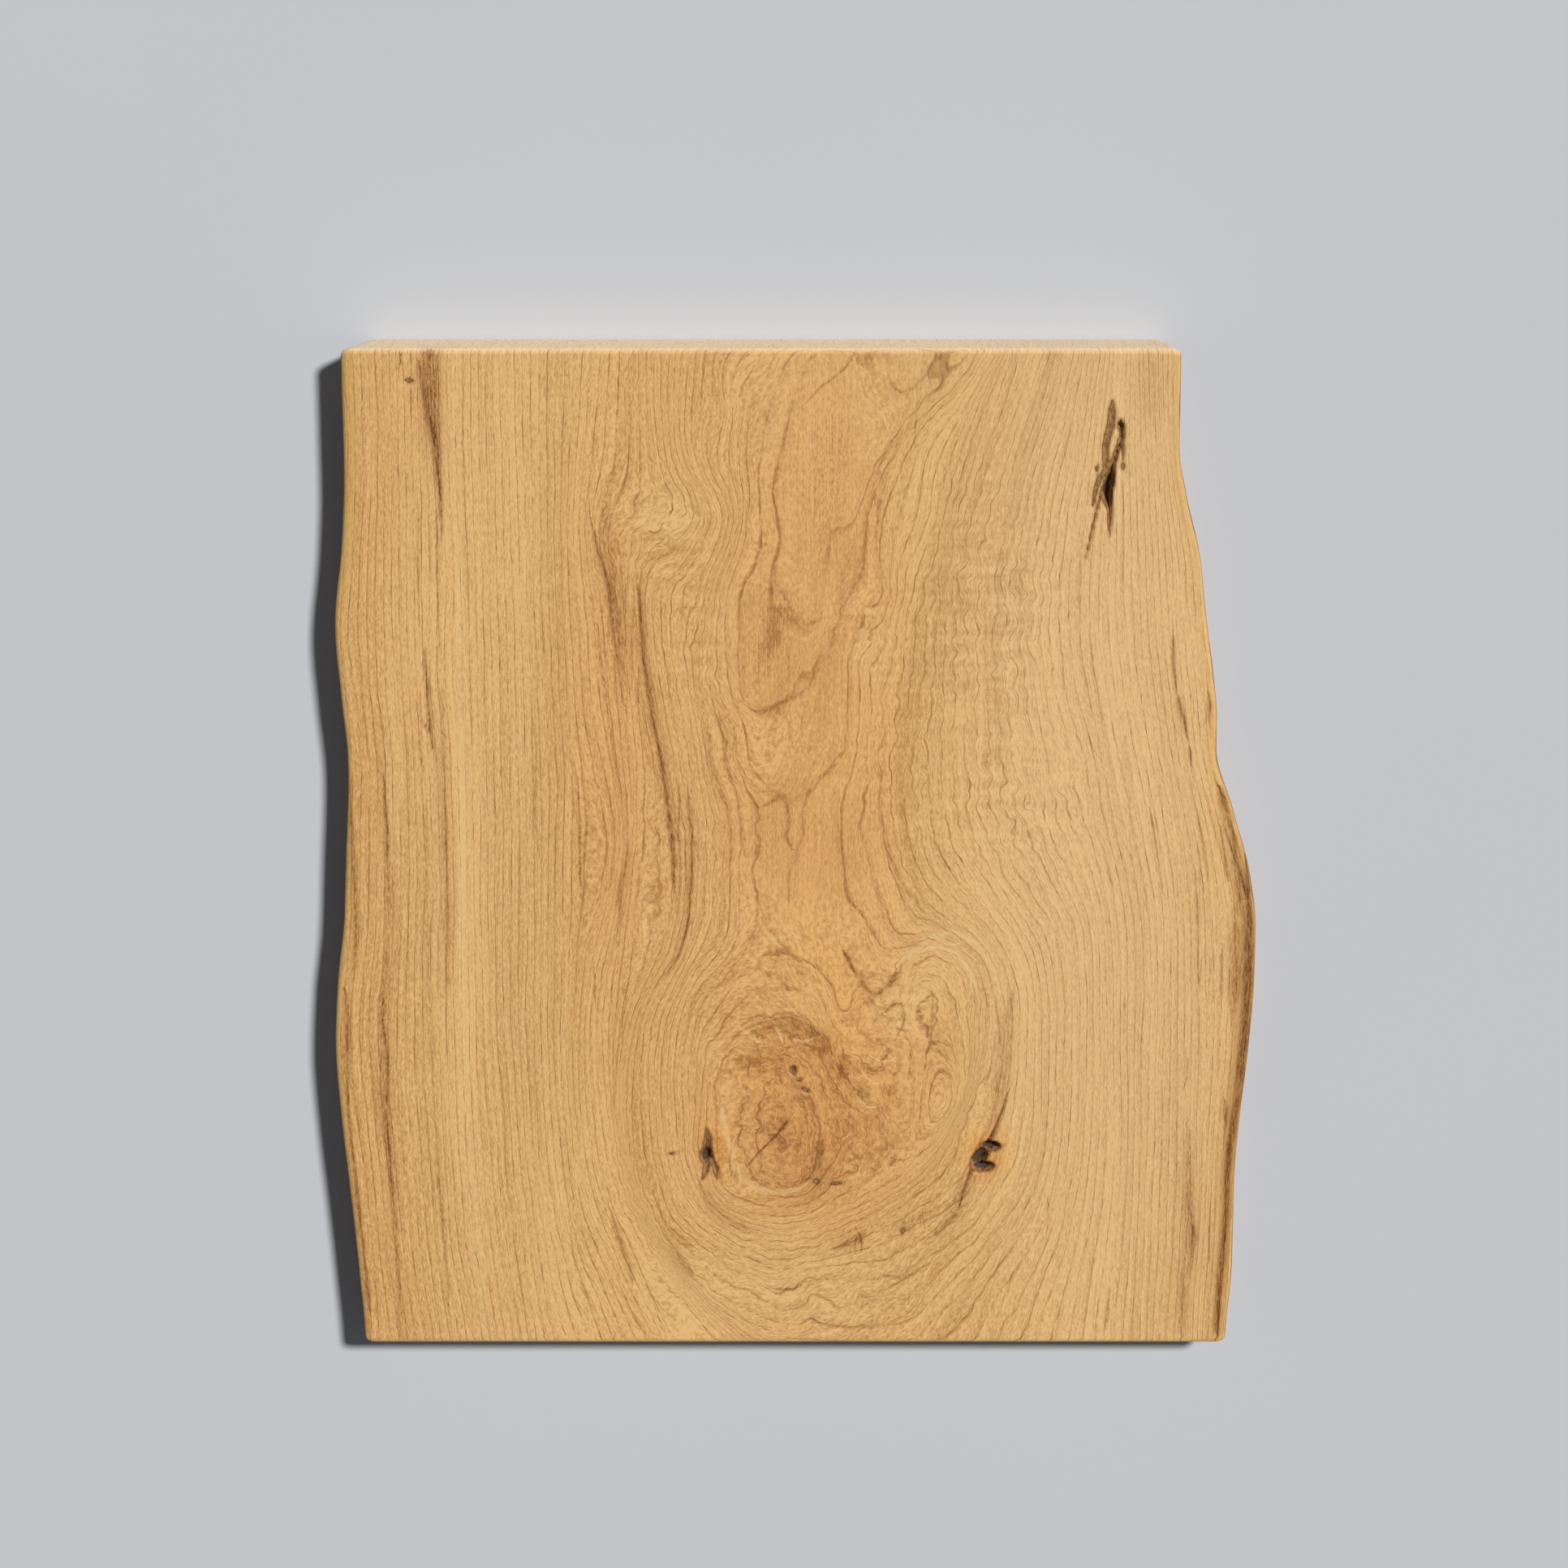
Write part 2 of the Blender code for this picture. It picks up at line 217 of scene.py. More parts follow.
# Lines of the grain, each with its ring number, counted from the tongue
GRAIN_LINES = (
    (54, ((-387, 455), (-387, 345), (-390, 285), (-398, 205), (-394, 145), (-389, 85), (-393, 5),
        (-396, -55), (-403, -115), (-406, -175), (-403, -235), (-395, -315), (-389, -385),
        (-386, -455))),
    (41, ((-308, 455), (-308, 380), (-306, 300), (-306, 240), (-307, 160), (-304, 100), (-303, 20),
        (-303, -40), (-305, -100), (-306, -160), (-304, -240), (-301, -300), (-299, -350), (-291, -400),
        (-284, -455))),
    (34, ((-262, 455), (-262, 350), (-261, 250), (-260, 150), (-260, 50), (-260, -50), (-261, -150),
        (-258, -220), (-255, -290), (-250, -330), (-246, -380), (-236, -455))),
    (28.5, ((-228, 455), (-227, 350), (-226, 250), (-225, 150), (-222, 80), (-223, 0), (-224, -60),
        (-226, -150), (-224, -220), (-221, -280), (-213, -340), (-203, -390), (-186, -455))),
    (23.5, ((-190, 455), (-193, 380), (-197, 300), (-196, 240), (-193, 160), (-188, 80), (-187, 20),
        (-189, -40), (-194, -100), (-197, -160), (-196, -220), (-192, -280), (-183, -330), (-165, -380),
        (-132, -455))),
    (19.5, ((-160, 455), (-164, 400), (-168, 350), (-176, 310), (-174, 270), (-169, 230), (-168, 190),
        (-164, 150), (-158, 100), (-152, 60), (-149, 20), (-153, -20), (-160, -60), (-170, -100),
        (-177, -150), (-175, -220), (-170, -270), (-160, -310), (-143, -350), (-120, -400),
        (-92, -455))),
    (17, ((-140, 455), (-141, 400), (-142, 360), (-145, 330), (-155, 308), (-160, 285), (-155, 260),
        (-152, 230), (-149, 180), (-145, 120), (-142, 60), (-142, 20), (-146, -20), (-152, -60),
        (-160, -110), (-164, -160), (-162, -210), (-157, -260), (-148, -300), (-133, -338),
        (-110, -380), (-80, -418), (-50, -450))),
    (13, ((-112, 450), (-113, 400), (-110, 360), (-102, 335), (-92, 315))),
    (13, ((-128, 262), (-134, 240), (-132, 210), (-130, 180), (-126, 150), (-121, 120), (-115, 85),
        (-109, 45), (-105, 0), (-106, -40), (-113, -75), (-126, -105), (-140, -135), (-150, -180),
        (-152, -230), (-148, -280), (-138, -320), (-120, -355), (-100, -385), (-75, -410), (-50, -430),
        (-25, -446))),
    (10, ((-113, 235), (-113, 200), (-110, 160), (-101, 110), (-97, 80), (-92, 45), (-89, 10),
        (-90, -25), (-93, -60), (-103, -95), (-120, -120), (-131, -150), (-135, -200), (-133, -260),
        (-126, -300), (-116, -330), (-104, -350), (-80, -371), (-60, -387), (-40, -400), (-20, -412),
        (-8, -417), (6, -414), (20, -408), (40, -409), (60, -404), (80, -412), (100, -408), (118, -395),
        (140, -372), (165, -345), (185, -320), (200, -290), (208, -260), (211, -220), (211, -130),
        (206, -95), (192, -65), (170, -38), (148, -10), (134, 20), (128, 50), (126, 80), (126, 120),
        (127, 160), (128, 200), (134, 250), (144, 300), (158, 350), (176, 400), (192, 450))),
    (8.3, ((-85, 450), (-88, 410), (-90, 380), (-87, 355), (-78, 335), (-70, 318), (-67, 302),
        (-71, 285), (-82, 265), (-94, 245), (-101, 220), (-102, 190), (-98, 160), (-90, 120), (-85, 90),
        (-81, 55), (-79, 20), (-79, -20), (-82, -55), (-92, -88), (-106, -115), (-119, -145),
        (-125, -190), (-124, -240), (-120, -280), (-108, -318), (-92, -344), (-72, -360), (-50, -375),
        (-30, -386), (-8, -392), (6, -386), (20, -377), (40, -378), (70, -375), (100, -364),
        (130, -348), (157, -326), (176, -300), (188, -270), (196, -230), (199, -190), (199, -130),
        (193, -98), (178, -70), (158, -50), (134, -26), (118, 0), (110, 30), (107, 60), (106, 90),
        (108, 120), (112, 150), (114, 180), (117, 215), (124, 250), (133, 300), (146, 350), (163, 400),
        (182, 450))),
    (5.3, ((-58, 450), (-65, 420), (-60, 400), (-66, 380), (-69, 360), (-66, 342), (-57, 325),
        (-53, 305), (-58, 280), (-69, 250), (-79, 215), (-85, 180), (-84, 155), (-76, 125), (-73, 95),
        (-70, 75), (-62, 55), (-58, 35), (-56, 10), (-58, -15), (-57, -35), (-58, -55), (-66, -80),
        (-82, -104), (-98, -130), (-105, -165), (-107, -205), (-106, -250), (-102, -285), (-93, -310),
        (-80, -330), (-60, -345), (-40, -356), (-22, -363), (-5, -366), (15, -362), (40, -352),
        (70, -338), (98, -322), (120, -305), (138, -285), (150, -262), (160, -240), (170, -215),
        (176, -190), (180, -160), (180, -135), (176, -112), (168, -92), (155, -76), (140, -65),
        (126, -58), (114, -49), (104, -38), (94, -24), (87, -10), (81, 10), (77, 30), (74, 50),
        (73, 70), (76, 90), (79, 110), (80, 130), (81, 150), (84, 170), (87, 190), (88, 205), (92, 225),
        (97, 250), (103, 270), (112, 290), (118, 310), (122, 340), (132, 370), (144, 395), (160, 425),
        (174, 450))),
    (4, ((-38, 450), (-50, 432), (-56, 418), (-52, 400), (-55, 375), (-56, 355), (-52, 335), (-48, 318),
        (-48, 300), (-53, 280), (-61, 258), (-68, 235), (-74, 205), (-77, 180), (-74, 158), (-70, 135),
        (-62, 118), (-59, 105), (-60, 88), (-55, 75), (-50, 62), (-47, 45), (-46, 20), (-47, -10),
        (-46, -30), (-44, -55), (-50, -78), (-62, -95), (-78, -112), (-90, -135), (-96, -165),
        (-98, -200), (-97, -245), (-95, -280), (-86, -305), (-72, -326), (-52, -340), (-30, -349),
        (-8, -353), (15, -348), (42, -338), (72, -325), (98, -308), (118, -290), (133, -268),
        (145, -242), (155, -215), (162, -190), (167, -160), (168, -132), (163, -108), (155, -92),
        (142, -80), (125, -72), (108, -70), (90, -64), (78, -52), (72, -35), (67, -15), (62, 5),
        (58, 25), (58, 45), (59, 65), (61, 90), (64, 110), (66, 130), (66, 150), (66, 170), (69, 186),
        (80, 188), (84, 196), (80, 207), (86, 222), (86, 245), (89, 262), (94, 282), (101, 300),
        (106, 330), (112, 355), (124, 378), (140, 402), (158, 432), (168, 450))),
    (2, ((-13, 450), (-20, 435), (-28, 418), (-34, 405), (-38, 390), (-41, 365), (-40, 345), (-38, 320),
        (-41, 305), (-43, 288), (-46, 272), (-52, 255), (-58, 230), (-58, 205), (-58, 180), (-57, 158),
        (-52, 142), (-43, 125), (-41, 105), (-40, 88), (-33, 73), (-25, 66), (-12, 63), (0, 62),
        (12, 64), (20, 75), (30, 82), (40, 90), (42, 110), (42, 135), (43, 155), (45, 180), (48, 200),
        (52, 213), (60, 222), (70, 225), (76, 230), (74, 245), (72, 260), (71, 280), (73, 298),
        (77, 315), (83, 335), (92, 352), (100, 370), (110, 386), (128, 403), (148, 425), (163, 450))),
    (1, ((3, 450), (-14, 425), (-20, 395), (-26, 362), (-31, 335), (-27, 305), (-28, 278), (-36, 260),
        (-45, 240), (-48, 205), (-47, 165), (-43, 142), (-36, 134), (-20, 140), (-5, 149), (6, 163),
        (16, 178), (26, 193), (34, 208), (42, 228), (50, 246), (57, 258), (60, 280), (62, 306),
        (67, 326), (75, 350), (90, 371), (100, 384), (114, 397), (132, 413), (150, 436), (157, 450))),
    (1.45, ((-26, 112), (-6, 110), (12, 114), (28, 122))),
    (0, ((28, 450), (8, 430), (0, 405), (-7, 380), (-12, 345), (-17, 325), (-13, 300), (-11, 285),
        (-16, 260), (-17, 248), (-8, 235), (-1, 218), (6, 211), (15, 210), (21, 217), (22, 240),
        (22, 270), (25, 290), (34, 297), (46, 297), (56, 308), (62, 330), (70, 352), (84, 374),
        (93, 388), (104, 399), (120, 414))),
    (-0.45, ((20, 425), (22, 380), (18, 330), (14, 290), (5, 250), (10, 228))),
    (-0.5, ((45, 400), (45, 350), (38, 320))),
    (0, ((72, 450), (74, 430), (80, 413), (90, 407), (101, 411), (111, 421), (121, 433), (132, 447))),
    (-0.4, ((85, 440), (92, 425), (105, 440))),
    (2.6, ((-15, 40), (-15, 15), (-15, -15), (-15, -40))),
    (2.6, ((25, 50), (27, 10), (32, -20), (42, -50), (60, -80))),
    (2.4, ((-92, -265), (-90, -230), (-89, -200), (-87, -175), (-81, -153), (-70, -134), (-57, -115),
        (-45, -101), (-34, -90), (-26, -78), (-20, -69), (-12, -66), (0, -67), (12, -70), (22, -78),
        (31, -92), (38, -110), (45, -130))),
    (1.4, ((-84, -230), (-83, -200), (-80, -176), (-74, -158), (-62, -141), (-50, -126), (-38, -116),
        (-22, -110), (-8, -109), (6, -112), (18, -116), (27, -125), (34, -138), (40, -152),
        (46, -168))),
    (0.7, ((-79, -205), (-74, -180), (-60, -158), (-46, -138), (-30, -128), (-10, -125), (8, -129),
        (22, -140), (32, -156), (39, -174))),
    (0, ((-78, -250), (-77, -225), (-77, -200), (-76, -186), (-68, -177), (-58, -168), (-50, -158),
        (-42, -151), (-30, -149), (-18, -146), (-6, -143), (6, -147), (17, -153), (25, -162),
        (31, -173), (36, -186), (42, -198))),
    (0, ((-70, -302), (-60, -316), (-45, -325), (-25, -329), (-8, -329), (8, -326), (22, -320),
        (38, -312), (55, -303), (72, -290), (88, -275), (99, -257), (104, -238), (105, -218),
        (104, -200))),
    (-1.5, ((-45, -180), (-52, -200), (-54, -225), (-53, -250), (-50, -275), (-40, -298), (-24, -312),
        (-5, -316), (12, -312), (26, -300), (38, -285), (50, -268), (58, -248))),
    (-2.6, ((-38, -265), (-32, -285), (-22, -301), (-8, -306), (6, -304), (17, -296), (25, -281),
        (29, -262))),
    (-3.6, ((-8, -262), (-20, -240), (0, -225))),
    (2, ((88, -108), (96, -93), (108, -82), (124, -78), (140, -84), (150, -96), (157, -112),
        (160, -130))),
    (1, ((98, -110), (110, -97), (124, -92), (138, -98), (147, -112), (151, -135), (154, -160),
        (156, -190), (152, -215), (142, -240), (128, -262), (112, -280), (90, -296), (64, -311),
        (35, -325), (10, -334), (-10, -337))),
    (0, ((108, -115), (118, -108), (130, -112), (138, -128), (143, -145), (147, -165), (149, -190),
        (147, -212))),
    (-0.8, ((114, -128), (119, -145), (118, -162), (114, -180))),
    (0.8, ((60, -135), (72, -150), (84, -172))),
    (12.3, ((207, 450), (190, 400), (173, 350), (160, 300), (152, 250), (150, 200), (150, 150),
        (150, 100), (150, 70), (152, 50), (155, 30), (162, 10), (172, -10), (185, -30), (200, -50),
        (215, -75), (222, -100), (225, -130), (226, -180), (226, -230), (222, -275), (212, -312),
        (196, -342), (172, -375), (148, -408), (122, -438))),
    (15, ((222, 450), (208, 400), (192, 350), (180, 300), (173, 250), (171, 200), (173, 150),
        (177, 110), (179, 80), (181, 55), (187, 30), (195, 10), (208, -15), (220, -35), (233, -55),
        (240, -80), (243, -130), (244, -220), (241, -280), (232, -330), (215, -375), (198, -415),
        (178, -455))),
    (18, ((237, 450), (226, 400), (213, 350), (203, 300), (197, 250), (195, 200), (199, 150),
        (206, 110), (210, 80), (210, 60), (213, 45), (218, 30), (227, 10), (238, -10), (248, -30),
        (257, -60), (260, -90), (262, -130), (263, -250), (260, -300), (252, -350), (240, -400),
        (227, -455))),
    (22, ((255, 450), (248, 400), (240, 350), (233, 300), (228, 250), (226, 200), (232, 150),
        (244, 110), (252, 80), (257, 50), (264, 25), (271, 0), (278, -30), (283, -60), (286, -100),
        (287, -130), (288, -250), (287, -320), (283, -380), (277, -455))),
    (27, ((275, 450), (272, 400), (269, 350), (268, 300), (268, 250), (270, 200), (277, 150),
        (286, 100), (295, 60), (303, 20), (311, -20), (316, -60), (318, -130), (318, -300), (317, -380),
        (314, -455))),
    (33, ((296, 450), (298, 400), (301, 350), (304, 300), (307, 250), (311, 200), (318, 150),
        (325, 100), (334, 60), (342, 20), (349, -20), (353, -60), (355, -130), (356, -200), (356, -300),
        (352, -380), (350, -455))),
    (41, ((330, 455), (331, 365), (337, 325), (351, 265), (355, 225), (364, 165), (368, 125),
        (368, 100), (383, 45), (400, -15), (406, -65), (406, -115), (402, -175), (396, -235),
        (393, -295), (392, -375), (388, -455))),
)

# Streaks and marks: strength, half width and route, where a route's point may
# give a half width of its own. Routes in one list keep clear of each other. A
# streak's field ends at its reach, over so many millimetres, and halfway to the next
# streak. A streak without widths of its own is this fine at its tips
STREAK_REACH = 18
STREAK_FADE = 6
STREAK_GAP = 5
STREAK_TIP = 0.35
NO_STREAK = 1000.0
DARK_STREAKS = (
    (0.86, 1.5, ((-319, 438, 1), (-316, 415, 1.4), (-312, 395, 2.2), (-307, 376, 2.6), (-305, 355, 1.5),
        (-303, 325, 0.8))),
    (0.6, 0.8, ((-306, 310), (-307, 262), (-306, 190))),
    (0.74, 1.6, ((-174, 302), (-170, 282), (-165, 262), (-160, 250), (-157, 225), (-154, 190, 1),
        (-148, 140, 0.6))),
    (0.46, 1.1, ((-133, 236), (-132, 212), (-130, 180), (-125, 150), (-121, 120), (-116, 90),
        (-112, 65), (-107, 25), (-105, -5), (-105, -22))),
    (0.6, 1, ((-92, 56), (-91, 35), (-88, 14), (-90, -17), (-93, -60), (-99, -82), (-107, -98),
        (-121, -112))),
    (0.56, 0.8, ((-304, 92), (-303, 20), (-303, -50), (-305, -114))),
    (0.61, 1, ((-356, 76), (-354, 24), (-355, -20))),
    (0.68, 1.2, ((-361, -126), (-362, -150), (-358, -186), (-360, -230), (-358, -288), (-355, -330))),
    (0.61, 2.2, ((-386, 70, 0.8), (-384, -13, 2.6), (-383, -67, 2.2), (-386, -100, 1))),
    (0.74, 1.6, ((-394, -120, 1.2), (-393, -145, 2.2), (-394, -189, 2.2), (-394, -225, 1),
        (-392, -259, 1.2), (-386, -334, 1.6), (-383, -370, 0.8), (-380, -403, 2), (-379, -420, 0.8))),
    (1.25, 4, ((393, 5, 0.8), (396, -20, 1.8), (398, -45, 2.8), (399, -75, 4.4), (399, -104, 5.2),
        (398, -137, 5.4), (396, -171, 5.2), (394, -194, 5), (392, -216, 4.6), (389, -239, 4.2),
        (386, -262, 3.8), (384, -290, 3.4), (384, -330, 2.8), (380, -392, 2.8), (378, -438, 2.2))),
    (0.8, 1.1, ((379, 38), (384, 12), (388, -12), (389, -34))),
    (0.75, 1, ((371, 30), (375, 4), (379, -22))),
    (0.81, 1.4, ((326, 200, 1), (327, 180, 1.6), (330, 150, 0.8))),
    (1, 1.6, ((331, 148, 1), (334, 136, 1.8), (338, 122, 1.6), (340, 110, 0.8))),
    (1, 1.2, ((342, 102), (343, 96), (344, 86))),
    (0.94, 1.6, ((357, 152), (359, 138), (359, 122))),
    (0.96, 2.4, ((369, 66, 1), (371, 60, 2.4), (373, 53, 2.4), (376, 44, 1.2))),
    (0.68, 1.6, ((352, -325, 0.8), (356, -350, 2.4), (355, -366, 0.8))),
    (0.57, 2.2, ((-163, -325, 0.6), (-158, -341, 2), (-152, -362, 2.8), (-146, -383, 2.2),
        (-144, -392, 0.8))),
    (0.54, 0.8, ((-200, -335), (-196, -370), (-188, -395), (-180, -416))),
    (0.41, 1.3, ((-56, 130), (-66, 123), (-63, 112), (-58, 104), (-61, 88), (-56, 72), (-49, 58),
        (-47, 40), (-45, 18), (-43, 2))),
    (0.68, 1.4, ((-24, 49, 1), (-18, 53, 1.8), (-11, 57, 2.2), (-6, 51, 1.6), (-5, 30, 1.2),
        (-8, 21, 2), (-3, 12, 0.8))),
    (0.74, 1.6, ((45, -86, 1.6), (49, -95, 2.2), (52, -101, 1.4), (58, -108, 2.6), (61, -116, 2),
        (66, -121, 1.9), (72, -123, 2.8), (79, -119, 1.7), (85, -113, 3), (89, -107, 3),
        (90, -102, 1))),
    (0.47, 1, ((52, 449), (45, 436), (36, 427), (24, 419), (8, 402))),
    (0.41, 1.4, ((-42, 139), (-33, 132), (-20, 138), (-8, 142), (3, 147), (10, 154))),
    (0.5, 0.8, ((117, -119), (122, -122), (121, -140), (121, -155), (119, -168))),
    (0.74, 1, ((-20, -398), (-11, -399), (0, -398), (7, -394))),
    (0.81, 1.2, ((57, -344), (60, -352), (60, -361))),
    (0.68, 1, ((49, -355), (50, -365))),
    (0.68, 1.2, ((115, -332), (116, -341))),
    (0.54, 1, ((-112, -338), (-100, -350), (-85, -362))),
    (0.68, 1.4, ((103, 386), (102, 368))),
    (0.61, 1.2, ((124, 247), (125, 228))),
    (0.68, 1.6, ((-57, -274), (-57, -286))),
    (0.47, 1.2, ((-63, -176), (-50, -160), (-38, -152), (-24, -148), (-4, -144), (10, -150), (27, -165),
        (35, -181))),
    (1, 0.7, ((190, -210), (188, -216), (183, -233), (178, -247), (172, -260, 1.1))),
    (1, 0.7, ((158, -284, 1.1), (154, -295), (150, -308), (146, -324))),
    (0.85, 0.6, ((-6, -241, 0.6), (-10, -246, 0.9), (-14, -252), (-22, -260), (-31, -270),
        (-42, -283))),
    (0.68, 0.8, ((-188, 77), (-187, 40), (-187, -13), (-186, -36))),
    (0.61, 1.6, ((83, -398, 0.8), (100, -388, 1), (121, -374, 0.8))),
    (0.68, 1, ((158, -123), (158, -132))),
    (0.74, 1.2, ((168, -121), (170, -134))),
    (0.47, 1, ((176, -124), (180, -150), (181, -170))),
)
RED_STREAKS = (
    (0.95, 6, ((-311, 454, 10), (-310, 425, 9), (-309, 400, 7.5), (-307, 380, 6), (-305, 355, 4),
        (-303, 325, 2), (-302, 290, 1))),
    (0.92, 2, ((-335, 446), (-335, 438))),
    (0.79, 2, ((-326, 445), (-326, 439))),
    (0.73, 1.6, ((-327, 420), (-326, 410), (-326, 398))),
    (0.59, 1.4, ((-322, 312), (-323, 262), (-323, 210))),
    (0.59, 1.8, ((-323, 152), (-323, 128))),
    (0.66, 2.4, ((-323, 114), (-323, 84))),
    (0.53, 4, ((-358, 90, 1), (-356, 60, 2), (-355, 24, 3.4), (-352, -38, 4), (-357, -90, 2),
        (-361, -126, 3.4), (-362, -180, 5), (-363, -214, 6), (-360, -260, 5), (-357, -288, 4.4),
        (-354, -337, 3), (-353, -390, 2.4), (-352, -436, 1))),
    (0.37, 5, ((-304, 150, 3), (-304, 60, 5), (-304, -40, 5), (-305, -120, 3))),
    (0.29, 4, ((-321, 40, 3), (-320, -83, 4), (-318, -180, 3))),
    (0.5, 1.8, ((-317, -265), (-316, -292), (-312, -340), (-310, -377), (-308, -420))),
    (0.48, 8, ((-162, 310, 3), (-160, 285, 8), (-156, 250, 9), (-152, 215, 7), (-148, 180, 4),
        (-144, 150, 1.5))),
    (0.63, 4, ((-133, 240, 2), (-132, 212, 4), (-130, 180, 4.2), (-125, 150, 4.2), (-121, 120, 4),
        (-116, 90, 3.8), (-112, 65, 3.4), (-107, 25, 3), (-105, -5, 2.6), (-105, -26, 1.2))),
    (0.53, 1.4, ((-169, 210), (-166, 175), (-160, 120), (-153, 72), (-149, 20))),
    (0.66, 2, ((-146, 60, 1), (-145, 5, 1.5), (-148, -12, 2.6), (-152, -26, 3.6), (-152, -51, 1.6),
        (-156, -75, 0.8))),
    (0.4, 1.6, ((-223, 106), (-226, 45), (-222, 0))),
    (0.42, 3.4, ((-92, 62, 2), (-90, 35, 3.2), (-88, 14, 3.4), (-90, -17, 3.2), (-93, -60, 3),
        (-99, -82, 2.6), (-107, -98, 2))),
    (0.59, 2.4, ((-175, -106), (-175, -126))),
    (0.55, 1.5, ((-148, -122, 2.2), (-149, -135, 1.6), (-152, -158), (-156, -179, 1.2),
        (-158, -215, 1))),
    (0.37, 2, ((-77, 122), (-74, 112), (-74, 90), (-68, 70), (-60, 52), (-57, 40), (-55, 5),
        (-58, -12))),
    (0.46, 6, ((-82, -303, 3), (-72, -322, 6), (-55, -336, 6), (-40, -343, 3))),
    (0.66, 1.3, ((309, 48), (312, 30), (317, 0), (322, -32))),
    (0.55, 1.5, ((350, -8), (352, -39), (355, -115))),
    (0.59, 1.6, ((365, -92), (364, -114))),
    (0.66, 2.2, ((347, -183), (346, -202))),
    (0.37, 3.4, ((290, -126), (290, -158))),
    (0.7, 6, ((370, 62, 2), (376, 40, 5.5), (383, 10, 7), (388, -18, 6.5), (390, -42, 5), (387, -66, 6),
        (387, -82, 7.5), (387, -104, 7.5), (386, -122, 6), (385, -142, 1.5))),
    (0.9, 2.4, ((380, -222, 1), (381, -230, 2.8), (382, -240, 1.6))),
    (0.66, 1.3, ((350, 46), (353, 26), (357, 5), (361, -18))),
    (0.4, 2.6, ((114, -49), (104, -36), (94, -22), (85, 0), (79, 24), (75, 45), (75, 70), (79, 105))),
    (0.59, 2.2, ((226, -318), (226, -336))),
    (0.55, 6, ((349, -250, 2), (350, -300, 5), (351, -330, 6.5), (352, -350, 6.5), (350, -380, 6),
        (347, -404, 6), (346, -438, 4))),
    (0.55, 1.8, ((281, -400), (280, -423), (278, -438))),
    (0.53, 5, ((40, -358, 3), (49, -354, 6), (57, -351, 6), (63, -345, 2))),
    (0.42, 5, ((92, -342, 4), (105, -334, 5), (120, -325, 3), (135, -316, 1))),
    (0.59, 4, ((-116, -343, 1), (-110, -354, 3), (-101, -370, 5), (-95, -380, 4.4), (-89, -389, 1))),
    (0.66, 1.4, ((-125, -413), (-118, -436))),
    (0.42, 1.6, ((78, 436), (82, 420), (90, 412), (101, 416), (112, 428), (122, 446))),
    (0.55, 2.2, ((80, 346), (73, 318), (70, 290))),
    (0.42, 1.8, ((40, 88), (30, 80), (18, 72), (12, 60), (8, 47), (8, 22), (3, 10), (-5, -15),
        (-5, -40))),
    (0.37, 2, ((-3, 395), (-8, 375), (-14, 345), (-18, 325), (-14, 300), (-12, 285), (-17, 260),
        (-17, 248), (-8, 235), (0, 217), (10, 210), (21, 214))),
    (0.37, 2, ((104, 399), (90, 373), (74, 353), (67, 326), (61, 306), (60, 282), (56, 256), (43, 228),
        (36, 208))),
    (0.55, 4, ((-38, -159, 2), (-20, -153, 4), (-4, -150, 5), (14, -157, 5), (27, -171, 4),
        (33, -190, 2.6))),
    (0.5, 3.6, ((26, -258, 2), (23, -278, 4), (13, -293, 4), (0, -299, 2))),
    (0.66, 1.4, ((82, -137, 1.2), (88, -132, 2.6), (94, -131, 1.2), (97, -140), (96, -152),
        (90, -161, 0.8))),
    (0.42, 8, ((192, -122, 2), (189, -140, 5), (186, -173, 8), (183, -205, 8.5), (179, -232, 7),
        (176, -252, 4))),
    (0.52, 7, ((155, -292, 4), (148, -308, 7), (141, -328, 7), (126, -345, 3))),
    (0.59, 1.6, ((335, 257), (337, 229))),
    (0.53, 1.6, ((142, -4), (149, -19))),
    (0.53, 1.8, ((43, -178, 2), (42, -190, 4), (39, -206, 3))),
    (0.66, 1.4, ((281, 374), (281, 346))),
    (0.33, 3, ((281, 335), (281, 240))),
)
PALE_STREAKS = (
    (0.29, 8, ((-288, 452), (-288, 60), (-290, -250), (-281, -380), (-274, -452))),
    (0.69, 3, ((88, -100), (97, -90), (110, -82), (124, -79), (142, -86), (154, -103), (160, -118))),
    (0.63, 2.8, ((108, -76), (124, -69), (138, -66), (157, -74), (172, -94), (181, -120))),
    (0.8, 2.8, ((-47, -155), (-40, -160), (-32, -167))),
    (0.75, 2.2, ((-17, -151), (-13, -160), (-10, -168))),
    (0.69, 1.8, ((1, -165), (9, -167), (18, -163))),
    (0.63, 2.4, ((-184, -314), (-178, -330), (-172, -346))),
    (0.4, 2, ((-150, 304), (-134, 299), (-110, 296), (-82, 303))),
    (0.4, 2.2, ((-60, -128), (-50, -114), (-38, -101), (-28, -86), (-22, -74), (-12, -70), (6, -71))),
    (0.52, 3, ((-64, -222), (-63, -240), (-58, -262), (-52, -284), (-38, -301), (-18, -308), (4, -304),
        (16, -295))),
    (0.34, 3, ((60, 225), (72, 215), (80, 200), (86, 184))),
    (0.6, 1.6, ((394, -82), (392, -125), (390, -165), (387, -214), (382, -260))),
    (0.52, 2, ((88, -140), (92, -150), (88, -156))),
    (0.34, 9, ((274, 270), (276, 150), (283, 50))),
    (0.69, 1.6, ((60, -196), (70, -206), (82, -204))),
    (0.69, 1.4, ((66, -180), (78, -186), (90, -183))),
    (0.63, 1.4, ((56, -220), (66, -228), (76, -226))),
)

